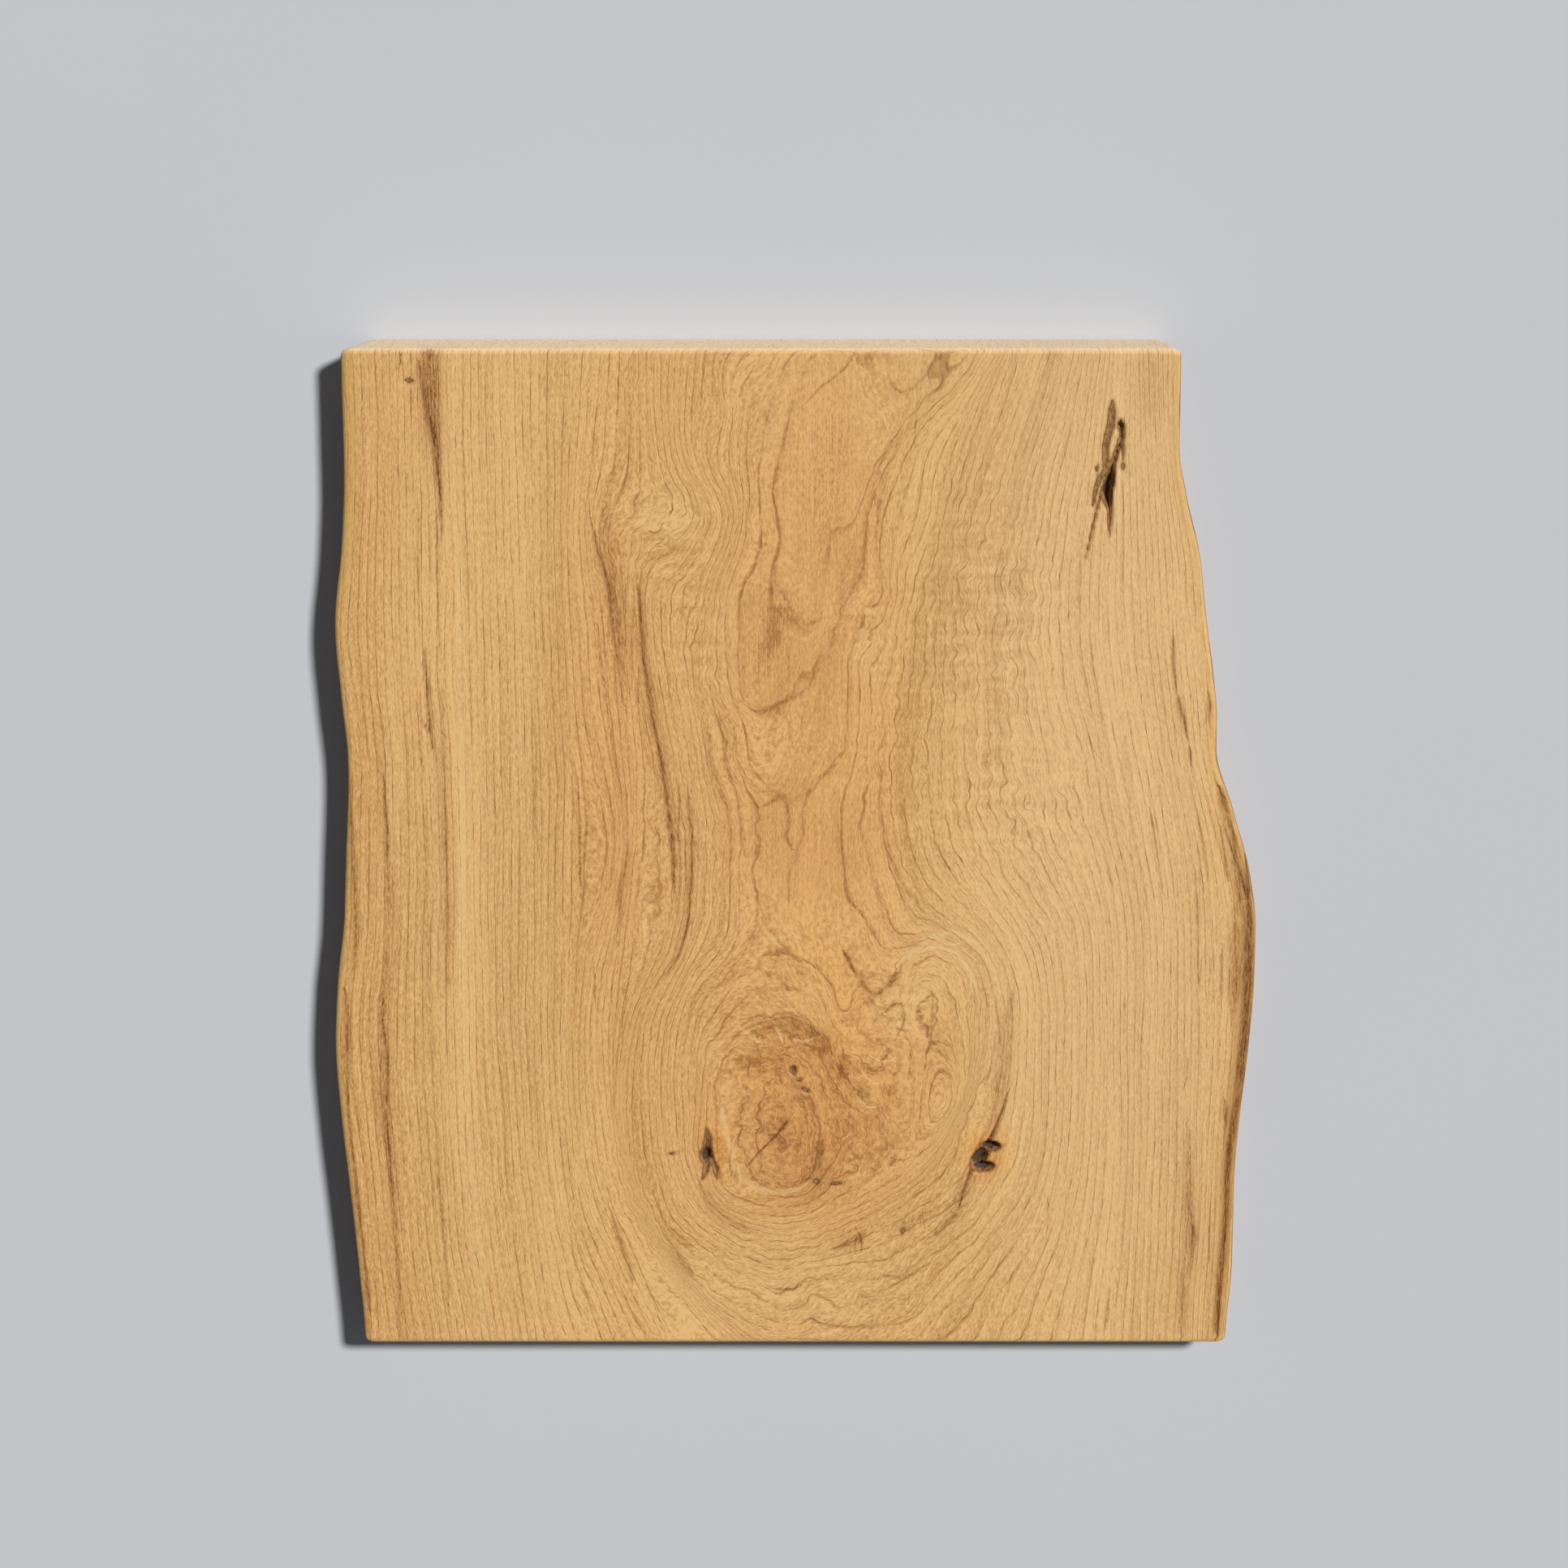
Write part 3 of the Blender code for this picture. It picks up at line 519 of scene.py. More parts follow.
# How each layer of streaks is laid on: its colour, how much more and how much at
# least it shows where it is blotchy, and how strong its stain is. One without a
# stain covers the wood, and the others tint it
STREAK_LAYERS = {
    "pale_streak": {
        "streaks": PALE_STREAKS, "colour": "cream_wood_and_painted_light", "blotch": (0.5, 0.4), "stain": 0.0},
    "red_streak": {
        "streaks": RED_STREAKS, "colour": "red_streak", "blotch": (0.85, 0.25), "stain": 0.25},
    "dark_streak": {
        "streaks": DARK_STREAKS, "colour": "dark_streak", "blotch": (0.65, 0.3), "stain": 0.5},
}

# Soft zones: kind, strength, middle, half size across and along, and a turn in
# degrees where there is one. They end at so many half sizes
ZONE_KINDS = ("brown", "amber", "pale")
ZONE_BORDER = 1.25
ZONES = (
    ("brown", 0.78, -10, -250, 56, 66),
    ("brown", 0.72, -10, -178, 52, 34),
    ("brown", 0.50, 10, -290, 46, 30),
    ("brown", 0.55, 70, -230, 44, 66),
    ("brown", 0.50, 128, -175, 24, 50),
    ("brown", 0.38, -25, 200, 34, 62),
    ("brown", 0.40, 42, 268, 22, 34),
    ("brown", 0.30, -28, 41, 14, 16),
    ("brown", 0.30, 44, 5, 14, 44),
    ("brown", 0.35, 108, -75, 14, 8),
    ("brown", 0.40, 44, -190, 7, 18),
    ("brown", 0.35, 24, -278, 9, 28),
    ("brown", 0.30, 50, -354, 16, 12, 20),
    ("brown", 0.45, -311, 410, 14, 46),
    ("brown", 0.35, 303, 420, 16, 46),
    ("brown", 0.25, -155, 20, 16, 90),
    ("brown", 0.25, -58, 90, 12, 50),
    ("amber", 0.60, -70, -268, 20, 34),
    ("amber", 0.65, 170, -272, 26, 34),
    ("brown", 0.50, 172, -274, 15, 19),
    ("brown", 0.45, -78, -270, 11, 22),
    ("amber", 0.18, 370, 100, 18, 160),
    ("amber", 0.15, 388, -260, 14, 220),
    ("amber", 0.26, 20, 60, 90, 420),
    ("amber", 0.30, 30, -210, 130, 130),
    ("amber", 0.15, -170, 100, 60, 300),
    ("pale", 0.60, 272, 345, 24, 70),
    ("pale", 0.20, -112, 308, 34, 30),
    ("pale", 0.30, 0, -135, 50, 26),
    # Painted light: this broad pale zone makes the right half paler, as if lit more from the right
    ("pale", 0.62, 285, 100, 190, 900),
    ("pale", 0.22, -260, 0, 100, 900),
    ("pale", 0.25, 0, -400, 140, 60),
    ("pale", 0.30, 90, -135, 26, 30),
    ("pale", 0.30, 60, 180, 20, 30),
    ("brown", 0.28, 20, 350, 34, 110),
    ("brown", 0.25, 10, 20, 50, 60),
    ("brown", 0.20, -345, 360, 40, 130),
    ("brown", 0.22, 0, 170, 60, 60),
    ("brown", 0.26, 5, -300, 60, 34),
    ("brown", 0.22, 12, 5, 60, 60),
    ("pale", 0.30, -75, -175, 14, 30),
)
# Places where the grain is curly, where it is crumpled, and where it is plain, as
# middle, half sizes and amount
PATCH_BORDER = 1.4
CURLY = (
    (165, 225, 60, 120, 1.0),
    (90, 110, 40, 110, 0.6),
    (-85, 220, 30, 90, 0.6),
    (-115, 280, 40, 30, 0.8),
    (60, 205, 34, 26, 0.8),
    (95, -130, 45, 45, 0.6),
    (-90, 10, 70, 70, 0.45),
    (190, 60, 60, 70, 0.8),
    (40, -400, 90, 40, 0.35),
)
CRUMPLED = (
    (-5, -190, 56, 44, 0.8),
    (58, -205, 42, 60, 0.75),
    (-20, -255, 40, 50, 0.6),
    (60, -275, 50, 30, 0.7),
    (-5, -110, 50, 34, 0.35),
    (85, -140, 30, 30, 0.4),
    (125, -170, 22, 50, 0.25),
    (-115, 308, 34, 22, 0.6),
)
PLAIN = (
    (24, 350, 40, 110, 1.0),
    (10, 20, 60, 60, 0.9),
    (-18, 200, 42, 60, 1.0),
    (35, 150, 30, 50, 0.6),
    (100, 430, 30, 30, 0.6),
)

# Sapwood strips, in millimetres: where the left one begins to widen and over what
# length, and where the right one is widest and how far that reaches
SAP_BORDER = 1.5
LEFT_SAP = {"start": 150, "run": 150, "width": 6, "wider": 5, "strength": 0.5, "stronger": 0.5}
RIGHT_SAP = {"middle": -60, "run": 120, "width": 7, "wider": 7, "strength": 0.55}
# Marks fade out over this depth, and the back's rings are those of the depth below
FACE_FADE = 0.02
BACK_DEPTH = 0.04
# What counts as far from any cut, in millimetres
FAR_FROM_CUT = 9.0

# Noises on Object coordinates: cells per metre across, along and down, octaves,
# roughness and distortion
FREE_NOISES = {
    "drift": ((30, 9, 1), 3),
    "shake": ((36, 50, 1), 1.5),
    "crush": ((48, 48, 1), 2, 0.6),
    "cross": ((24, 110, 1), 2),
    "crumple": ((46, 46, 1), 4, 0.55, 1.6),
    "plain_fibre": ((480, 10, 1), 4, 0.75),
    "plain_fleck": ((760, 190, 1), 2, 0.65),
    "wobble": ((170, 60, 1), 2),
    "end": ((700, 1, 160), 2),
    "ragged": ((420, 240, 240), 3),
}
# Noises along the grain: cells per ring and per metre, octaves and roughness
GRAIN_NOISES = {
    "broken": (0.8, 16, 2),
    "tone": (0.9, 3, 2),
    "broad": (0.16, 2, 1),
    "fibre": (5.2, 9, 4, 0.8),
    "fleck": (7.4, 210, 2, 0.7),
    "dash": (8, 80, 1),
    "blotch": (3.4, 55, 3, 0.7),
}
# Even where the rings are wide, the fibres change by so many rings per metre across
GRAIN_LEAN = 28.0
# The bark's cells per metre of height and of length, octaves and roughness
BARK_CELLS = (260.0, 22.0)
BARK_NOISE = (4.0, 0.6)
# How widely noises swing about their middle, in rings, darkness, millimetres or shares
SHAKES = {
    "drift": 1.0, "shake": 2.8, "crush": 2.8, "cross": 1.3, "crumple": 2.8,
    "wobble": 2.2, "bark": 0.6, "rim": 1.5, "depth": 3.0,
}
# Pores come and go along a ring, and dashes gather where the pores are: how much of
# each comes and goes, and how much is always there
PORE_ROWS = (0.7, 0.3)
DASH_ROWS = (0.8, 0.2)
# Smooth steps: where each begins and where it ends, and then its two heights if they
# aren't 0 and 1
STEPS = {
    "pores_begin": (0.0, 0.05), "pores_end": (0.25, 0.06), "late": (0.45, 0.97),
    "broken": (0.36, 0.62), "dash": (0.56, 0.66),
    "streak": (1.35, 0.15), "streak_stain": (3.0, 0.4),
    "blotch": (0.38, 0.60), "speckle": (0.36, 0.60, 0.55, 1.15),
    "bark": (0.38, 0.66), "live": (0.35, 0.95), "end": (0.42, 0.95),
    # hole_shade, hole_deep and hole_middle shape the painted shade at the cuts' lips and deep middles
    "hole_stain": (-3.0, 0.2), "hole_shade": (-0.8, 0.1), "hole": (-0.30, 0.35),
    "hole_bark": (0.44, 0.66), "hole_rim": (0.9, 0.2), "hole_deep": (2.0, 5.0),
    "hole_middle": (1.4, 3.2), "cloud": (0.3, 0.7, 0.0, 0.06),
}
# How much the patterns darken the wood: two from nothing, the others about their
# middle, and the tone that they are added to
DARKENING = {"early": 0.74, "late": 0.10}
SWINGS = {"tone": 0.6, "broad": 0.6, "fibre": 1.7, "fleck": 2.4}
BASE_TONE = 0.28
# Rings in cream wood and sapwood, and the strength of what is laid over the wood
SOFT_RINGS = 0.6
AMBER_STRENGTH = 0.8
SAP_STRENGTH = 0.8
DASH_STRENGTH = 0.7
# Strength of the painted light on the sawn ends
END_STRENGTH = 0.85
HOLE_STAIN = 0.65
# Strength of the painted shade at the lips of the cuts
HOLE_SHADE = 0.5
# Gloss and relief
SPECULAR = 0.35
ROUGHNESS = {"plain": 0.50, "dash": 0.25, "fibre": 0.25, "sides": 0.2, "hole": 0.35}
RELIEF = {"dash": -0.8, "early": -0.25, "fibre": 0.5, "bark": 3.0, "end": 1.2, "hole": 4.0}
BUMP_STRENGTH = 0.7
BUMP_DEPTH = 0.0004

# The stage
FLOOR_CLOUDS = 3.0
FLOOR_GREY = (0.5, 0.5, 0.5)
FLOOR_ROUGHNESS = 0.8
AIM = (-0.00895, 0.068, 0.05)
KEY_DIRECTION = (0.49, 0.58, 1.0)
KEY_DISTANCE = 4.2
KEY_COLOUR = (1.0, 0.97, 0.93)
FILL_COLOUR = (0.93, 0.96, 1.0, 1.0)
SENSOR = 36.0


def smooth_edge(points, along):
    """A live edge at the places along the trunk: cubic pieces through the points,
    with harmonic-mean slopes, level wherever the edge turns back."""
    knots, values = np.array(points).T
    spans = np.diff(knots)
    rises = np.diff(values) / spans
    slopes = np.zeros(len(knots))
    same_way = rises[:-1] * rises[1:] > 0
    before = rises[:-1][same_way]
    after = rises[1:][same_way]
    slopes[1:-1][same_way] = 2 * before * after / (before + after)
    along = np.asarray(along, float)
    piece = np.clip(np.searchsorted(knots, along, side="right") - 1, 0, len(spans) - 1)
    t = (along - knots[piece]) / spans[piece]
    start = values[piece] * (1 + 2 * t) * (1 - t) ** 2
    end = values[piece + 1] * t * t * (3 - 2 * t)
    leave = slopes[piece] * spans[piece] * t * (1 - t) ** 2
    arrive = slopes[piece + 1] * spans[piece] * t * t * (t - 1)
    return start + end + leave + arrive


def drawn_in(along, depth, full, phase):
    """How far a live edge stands inside its line on the face: the undercut, which
    is full * (3/4 s + 1/4 s squared) for the share s of the height below the rim,
    plus the bark's swells, flutes and pits, which are sines that fade at both rims."""
    share = np.clip((depth - RIM_LINE) / (THICKNESS - RIM_LINE), 0, 1)
    fade = np.sin(math.pi * share)
    wave = np.sin(2 * math.pi * along / RIPPLE_LENGTH + phase + RIPPLE_SLANT * depth)
    swell = np.sin(2 * math.pi * along / SWELL_LENGTH - 2 * phase)
    bend = FLUTE_BEND * np.sin(FLUTE_ALONG * along + phase)
    flute = 0.5 + 0.5 * np.sin(FLUTE_DOWN * depth + bend + 4 * phase)
    (along_a, down_a), (along_b, down_b) = PIT_WAVES
    pit = 0.5 + 0.5 * np.sin(along_a * along + down_a * depth) * np.sin(
        along_b * along + down_b * depth + phase)
    return (
        full * (EVEN_SHARE * share + (1 - EVEN_SHARE) * share ** 2)
        + RIPPLE_DEPTH * fade * (1 + WAVE_SHARE * wave + SWELL_SHARE * swell)
        + RIPPLE_DEPTH * fade * (FLUTE_SHARE * flute + PIT_SHARE * pit)
    )


def graded(start, stop, coarse, fine_zones):
    """Places from start to stop, coarse apart, and closer in the zones, each given
    as (low, high, spacing). The wanted density is added up along the way, and the
    places stand where the sum passes whole numbers, a multiple of the back's step."""
    dense = np.linspace(start, stop, DENSITY_SAMPLES)
    density = np.full(dense.shape, 1 / coarse)
    for low, high, spacing in fine_zones:
        outside = np.maximum(np.maximum(low - dense, dense - high), 0)
        density = np.maximum(density, 1 / (spacing + SPACING_GROWTH * outside))
    steps = 0.5 * (density[1:] + density[:-1]) * np.diff(dense)
    total = np.concatenate(([0], np.cumsum(steps)))
    count = BACK_STEP * math.ceil(total[-1] / BACK_STEP)
    return np.interp(np.linspace(0, total[-1], count + 1), total, dense)


def face_grid(across, along, depth, inset):
    """A face at a depth, as a grid between the live edges set in by inset. The
    columns are straight in the middle and are stretched evenly to the edges
    outside it, and the last rows draw in by a circle's height to round the corners."""
    end = LENGTH / 2 - inset
    y = along * (end / along[-1])
    radius = max(CORNER_RADIUS - inset, 0.0)
    into_corner = np.clip(np.abs(y) - (end - radius), 0, radius)
    pull = radius - np.sqrt(np.maximum(radius ** 2 - into_corner ** 2, 0))
    draw_left = drawn_in(y, depth, LEFT_UNDERCUT, LEFT_PHASE)
    draw_right = drawn_in(y, depth, RIGHT_UNDERCUT, RIGHT_PHASE)
    left = smooth_edge(LEFT_EDGE, y) + draw_left + inset + pull
    right = smooth_edge(RIGHT_EDGE, y) - draw_right - inset - pull
    low, high = STRAIGHT_ACROSS
    below = np.clip((low - across) / (low - across[0]), 0, 1)
    above = np.clip((across - high) / (across[-1] - high), 0, 1)
    x = np.clip(across, low, high)[None, :] + np.zeros((len(y), 1))
    x += below[None, :] * (left - low)[:, None] + above[None, :] * (right - high)[:, None]
    return x, np.repeat(y[:, None], len(across), axis=1)


def route_reach(x, y, route):
    """For every point, the signed distance to a route, positive on its left, and
    the width read along the route at the nearest place."""
    best = np.full(x.shape, FAR)
    signed = np.full(x.shape, FAR)
    width = np.zeros(x.shape)
    for (ax, ay, aw), (bx, by, bw) in zip(route[:-1], route[1:]):
        dx, dy = bx - ax, by - ay
        span = dx * dx + dy * dy
        t = np.clip(((x - ax) * dx + (y - ay) * dy) / span, 0, 1)
        away = np.hypot(x - ax - t * dx, y - ay - t * dy)
        side = np.where((y - ay) * dx - (x - ax) * dy >= 0, 1.0, -1.0)
        nearer = away < best
        best = np.where(nearer, away, best)
        signed = np.where(nearer, away * side, signed)
        width = np.where(nearer, aw + t * (bw - aw), width)
    return signed, width


def oval_reach(x, y, middle_x, middle_y, half_x, half_y, turn=0.0):
    """How far out each point is in a turned oval: the root of the squares of its
    shares of the two half sizes, so 0 in the middle and 1 on the outline."""
    cosine, sine = math.cos(math.radians(turn)), math.sin(math.radians(turn))
    across = ((x - middle_x) * cosine + (y - middle_y) * sine) / half_x
    along = ((y - middle_y) * cosine - (x - middle_x) * sine) / half_y
    return np.hypot(across, along)


def tapered(points, half_width):
    """A streak's route with a half width at every point: its own where one is given,
    and otherwise the streak's, which is drawn fine at both ends."""
    last = len(points) - 1
    return [
        (*point, half_width * (STREAK_TIP if place in (0, last) else 1.0))[:3]
        for place, point in enumerate(points)
    ]


def recesses(x, y):
    """How deep the face is cut at each point, and how far inside a cut the point
    lies: a groove's section is half an ellipse about its route, and a bowl is the
    lower half of an egg."""
    deep = np.zeros(x.shape)
    inside = np.full(x.shape, -1.0)
    for name, (ratio, route) in GROOVES.items():
        away, half_width = route_reach(x, y, route)
        away = np.abs(away)
        arch = np.sqrt(np.clip(1 - (away / half_width) ** 2, 0, 1))
        deep = np.maximum(deep, ratio * half_width * arch - CUTTER_LIFT)
        inside = np.maximum(inside, half_width - away - CLEAN_RIM.get(name, 0.0))
    for cx, cy, half_length, half_width, depth, turn in BOWLS.values():
        reach = oval_reach(x, y, cx, cy, half_length, half_width, turn)
        arch = np.sqrt(np.clip(1 - reach ** 2, 0, 1))
        deep = np.maximum(deep, depth * arch - CUTTER_LIFT)
        size = min(math.sqrt(half_length * half_width), BOWL_SLIMNESS * half_width)
        inside = np.maximum(inside, (1 - reach) * size)
    return deep, inside


def spline_kernel(square):
    """A thin plate's bend about one point: half the squared distance times its
    logarithm, with a trace added so that it stays finite at the point itself."""
    return 0.5 * square * np.log(square + 1e-9)


def grain_field():
    """Ring numbers over the whole face: the thin plate that bends least while it
    passes the listed lines, each at the height of its ring number. Returns the
    plate's own points and weights."""
    places, rings = [], []
    for ring, points in GRAIN_LINES:
        line = np.array(points, float)
        run = np.concatenate(([0], np.cumsum(np.hypot(*np.diff(line, axis=0).T))))
        count = max(2, int(round(run[-1] / GRAIN_STEP)) + 1)
        at = np.linspace(0, run[-1], count)
        places.append(np.column_stack([np.interp(at, run, column) for column in line.T]))
        rings.append(np.full(count, ring))
    scaled = np.vstack(places) * GRAIN_SCALE
    squares = ((scaled[:, None] - scaled[None]) ** 2).sum(-1)
    size = len(scaled)
    system = np.zeros((size + 3, size + 3))
    system[:size, :size] = spline_kernel(squares) + GRAIN_SLACK * np.eye(size)
    system[:size, size] = 1
    system[:size, size + 1:] = scaled
    system[size:, :size] = system[:size, size:].T
    wanted = np.concatenate(rings + [np.zeros(3)])
    return scaled, np.linalg.solve(system, wanted)


def ring_number(field, x, y, depth):
    """The ring at each point: the plate's height on the face, and below it the
    distance from the heart, as the root of the squares, in ring widths."""
    scaled, weights = field
    px, py = x / MM * GRAIN_SCALE[0], y / MM * GRAIN_SCALE[1]
    size = len(scaled)
    on_face = np.empty(len(x))
    for first in range(0, len(x), BLOCK):
        part = slice(first, first + BLOCK)
        from_x = px[part, None] - scaled[None, :, 0]
        from_y = py[part, None] - scaled[None, :, 1]
        on_face[part] = spline_kernel(from_x ** 2 + from_y ** 2) @ weights[:size]
    on_face += weights[size] + weights[size + 1] * px + weights[size + 2] * py
    radius = HEART_HEIGHT + RING_WIDTH * on_face
    below = np.sqrt(radius ** 2 + 2 * HEART_HEIGHT * depth + depth ** 2)
    return (below - HEART_HEIGHT) / RING_WIDTH


def streak_field(x, y, streaks):
    """For every point the nearest streak's signed distance, its half width and its
    strength, in millimetres. The distance goes through zero on the streak itself,
    so that a thin streak stays sharp between the mesh's points. The strength ends
    at the streak's reach, and halfway to the next streak, where the sign jumps."""
    result = np.tile((NO_STREAK, 1.0, 0.0), (len(x), 1))
    nearest = np.full(len(x), FAR)
    second = np.full(len(x), FAR)
    for strength, half_width, points in streaks:
        near = np.ones(len(x), bool)
        for values, axis in ((x, 0), (y, 1)):
            ends = [point[axis] for point in points]
            near &= (values > min(ends) - STREAK_REACH) & (values < max(ends) + STREAK_REACH)
        index = np.nonzero(near)[0]
        signed, width = route_reach(x[index], y[index], tapered(points, half_width))
        away = np.abs(signed)
        closer = away < nearest[index]
        second[index] = np.where(closer, nearest[index], np.minimum(second[index], away))
        index, signed, away = index[closer], signed[closer], away[closer]
        nearest[index] = away
        result[index, 0] = signed
        result[index, 1] = width[closer]
        result[index, 2] = strength * np.clip((STREAK_REACH - away) / STREAK_FADE, 0, 1)
    result[:, 2] *= np.clip((second - nearest) / STREAK_GAP, 0, 1)
    return result


def zone_field(x, y):
    """Brown, amber and pale amounts at each point: each zone is a turned oval whose
    strength falls off smoothly from its middle."""
    amounts = np.zeros((len(x), len(ZONE_KINDS)))
    for kind, strength, *oval in ZONES:
        fall = np.clip(ZONE_BORDER - oval_reach(x, y, *oval), 0, 1)
        amount = strength * fall * fall * (3 - 2 * fall)
        slot = ZONE_KINDS.index(kind)
        amounts[:, slot] = 1 - (1 - amounts[:, slot]) * (1 - amount)
    return amounts


def patches(x, y, places):
    """An amount at each point: full in the middle of each oval patch, and falling
    off evenly to nothing outside it."""
    amount = np.zeros(len(x))
    for *oval, strength in places:
        fall = np.clip(PATCH_BORDER - oval_reach(x, y, *oval), 0, 1)
        amount = np.maximum(amount, strength * fall)
    return amount


def sapwood(x, y):
    """How much sapwood each point has: a strip along each live edge that fades
    inwards. The left one widens towards the upper end, by a straight line, and the
    right one at the bulge, by a bell curve."""
    along = y / MM
    upper = np.clip((along - LEFT_SAP["start"]) / LEFT_SAP["run"], 0, 1)
    left_width = LEFT_SAP["width"] + LEFT_SAP["wider"] * upper
    from_left = (x - smooth_edge(LEFT_EDGE, y)) / MM
    left = np.clip(SAP_BORDER - from_left / left_width, 0, 1)
    left *= LEFT_SAP["strength"] + LEFT_SAP["stronger"] * upper
    bulge = np.exp(-((along - RIGHT_SAP["middle"]) / RIGHT_SAP["run"]) ** 2)
    right_width = RIGHT_SAP["width"] + RIGHT_SAP["wider"] * bulge
    from_right = (smooth_edge(RIGHT_EDGE, y) - x) / MM
    right = np.clip(SAP_BORDER - from_right / right_width, 0, 1) * RIGHT_SAP["strength"]
    return np.maximum(left, right)


def border(grid):
    """The outline of a grid, as one loop that starts at its first corner."""
    return np.concatenate((grid[0, :-1], grid[:-1, -1], grid[-1, :0:-1], grid[:0:-1, 0]))


def grid_quads(grid, turned=False):
    """A quad for each cell of a grid of point numbers, facing up from a grid that
    runs along +X and +Y, or the other way where it is turned."""
    corners = [grid[:-1, :-1], grid[:-1, 1:], grid[1:, 1:], grid[1:, :-1]]
    if turned:
        corners = corners[:1] + corners[:0:-1]
    return np.stack(corners, axis=-1).reshape(-1, 4)


def slab_surface(settings):
    """The whole slab as one closed skin: the face grid pressed into its recesses, a
    flank carried around it with rounded rims, which are quarter circles, and a
    coarser grid for the back, stitched to the flank. Returns the points, quads,
    triangles, depths, and how far each point is on a live edge or a sawn end."""
    fine = settings.fine_spacing
    fine_across = [(*zone, fine) for zone in FINE_ACROSS]
    across = graded(-GRID_HALF_WIDTH, GRID_HALF_WIDTH, settings.spacing, fine_across)
    end = LENGTH / 2 - RIM_RADIUS
    fine_along = [(*zone, fine) for zone in FINE_ALONG]
    fine_along += [(-end, END_ZONE - end, END_SPACING), (end - END_ZONE, end, END_SPACING)]
    along = graded(-end, end, settings.spacing, fine_along)
    rows, columns = len(along), len(across)
    x, y = face_grid(across, along, 0.0, RIM_RADIUS)
    deep, _ = recesses(x, y)
    face = np.stack((x, y, THICKNESS - deep), axis=-1).reshape(-1, 3)
    grid = np.arange(rows * columns).reshape(rows, columns)

    loop = border(grid)
    start_x, start_y = face[loop, 0], face[loop, 1]
    share = np.tile((across - across[0]) / (across[-1] - across[0]), rows)[loop]
    radius = CORNER_RADIUS - RIM_RADIUS
    lean = np.clip(np.abs(start_y) - (end - radius), 0, radius) / radius
    side = np.where(share <= 0, -1.0, np.where(share >= 1, 1.0, 0.0))
    out_x = np.sqrt(1 - lean ** 2) * side
    out_y = np.where(side == 0, 1.0, lean) * np.sign(start_y)

    turn = np.linspace(0, math.pi / 2, RIM_STEPS + 1)[1:]
    straight = np.linspace(RIM_RADIUS, THICKNESS - RIM_RADIUS, FLANK_STEPS + 1)[1:]
    depths = np.concatenate((
        RIM_RADIUS * (1 - np.cos(turn)), straight, THICKNESS - RIM_RADIUS * (1 - np.sin(turn))))
    offsets = np.concatenate((
        RIM_RADIUS * np.sin(turn), np.full(FLANK_STEPS, RIM_RADIUS), RIM_RADIUS * np.cos(turn)))
    draw_left = drawn_in(start_y[None, :], depths[:, None], LEFT_UNDERCUT, LEFT_PHASE)
    draw_right = drawn_in(start_y[None, :], depths[:, None], RIGHT_UNDERCUT, RIGHT_PHASE)
    flank_x = start_x + out_x * offsets[:, None] + draw_left * (1 - share) - draw_right * share
    flank_y = start_y + out_y * offsets[:, None]
    flank_z = THICKNESS - depths[:, None] + 0 * flank_x
    flank = np.stack((flank_x, flank_y, flank_z), axis=-1).reshape(-1, 3)
    levels, around = len(depths), len(loop)
    rings = np.vstack((loop[None, :], len(face) + np.arange(levels * around).reshape(levels, around)))
    flank_quads = grid_quads(np.hstack((rings, rings[:, :1])), turned=True)

    back_x, back_y = face_grid(across[::BACK_STEP], along[::BACK_STEP], THICKNESS, BACK_MARGIN)
    back = np.stack((back_x, back_y, 0 * back_x), axis=-1).reshape(-1, 3)
    first = len(face) + len(flank)
    coarse = first + np.arange(len(back)).reshape(back_x.shape)
    inner = border(coarse)
    near = ((np.arange(around) + BACK_STEP // 2) // BACK_STEP) % len(inner)
    following = np.roll(near, -1)
    outer, outer_next = rings[-1], np.roll(rings[-1], -1)
    spokes = np.stack((outer, inner[near], outer_next), axis=-1)
    fans = np.stack((inner[near], inner[following], outer_next), axis=-1)[near != following]

    points = np.vstack((face, flank, back))
    quads = np.vstack((grid_quads(grid), flank_quads, grid_quads(coarse, turned=True)))
    level_share = np.sin(np.clip(depths / RIM_RADIUS, 0, 1) * math.pi / 2)[:, None]
    live, sawn = np.zeros(len(points)), np.zeros(len(points))
    live[len(face):first] = (np.abs(out_x) * level_share).reshape(-1)
    sawn[len(face):first] = (np.abs(out_y) * level_share).reshape(-1)
    return points, quads, np.vstack((spokes, fans)), THICKNESS - points[:, 2], live, sawn


def slab_attributes(points, depth, live, sawn):
    """What the wood reads at each point: ring number, figure, zones of colour,
    streaks, cuts, sapwood, and the live and sawn sides. All but the ring and the
    sides fade out a little way below the face."""
    x, y = points[:, 0], points[:, 1]
    across, along = x / MM, y / MM
    on_face = np.clip(1 - depth / FACE_FADE, 0, 1)
    off_face = (live + sawn > 0) | (depth > BACK_DEPTH)
    deep, inside = recesses(x, y)
    inside = np.where(on_face > 0, np.maximum(inside / MM, -FAR_FROM_CUT), -FAR_FROM_CUT)
    figure = np.column_stack([patches(across, along, each) for each in (CURLY, CRUMPLED, PLAIN)])
    values = {
        "ring": ring_number(grain_field(), x, y, np.where(off_face, depth, 0)),
        "figure": figure * on_face[:, None],
        "zones": zone_field(across, along) * on_face[:, None],
        "cut": np.column_stack((inside, deep / MM, 0 * x)),
        "sap": sapwood(x, y) * on_face,
        "live": live,
        "sawn": sawn,
    }
    for name, layer in STREAK_LAYERS.items():
        values[name] = streak_field(across, along, layer["streaks"])
        values[name][:, 2] *= on_face
    return values


def put_attribute(mesh, name, values):
    """Stores a number or a triple for each point."""
    kind, slot = ("FLOAT_VECTOR", "vector") if values.ndim == 2 else ("FLOAT", "value")
    attribute = mesh.attributes.new(name, kind, "POINT")
    attribute.data.foreach_set(slot, values.astype(np.float32).ravel())


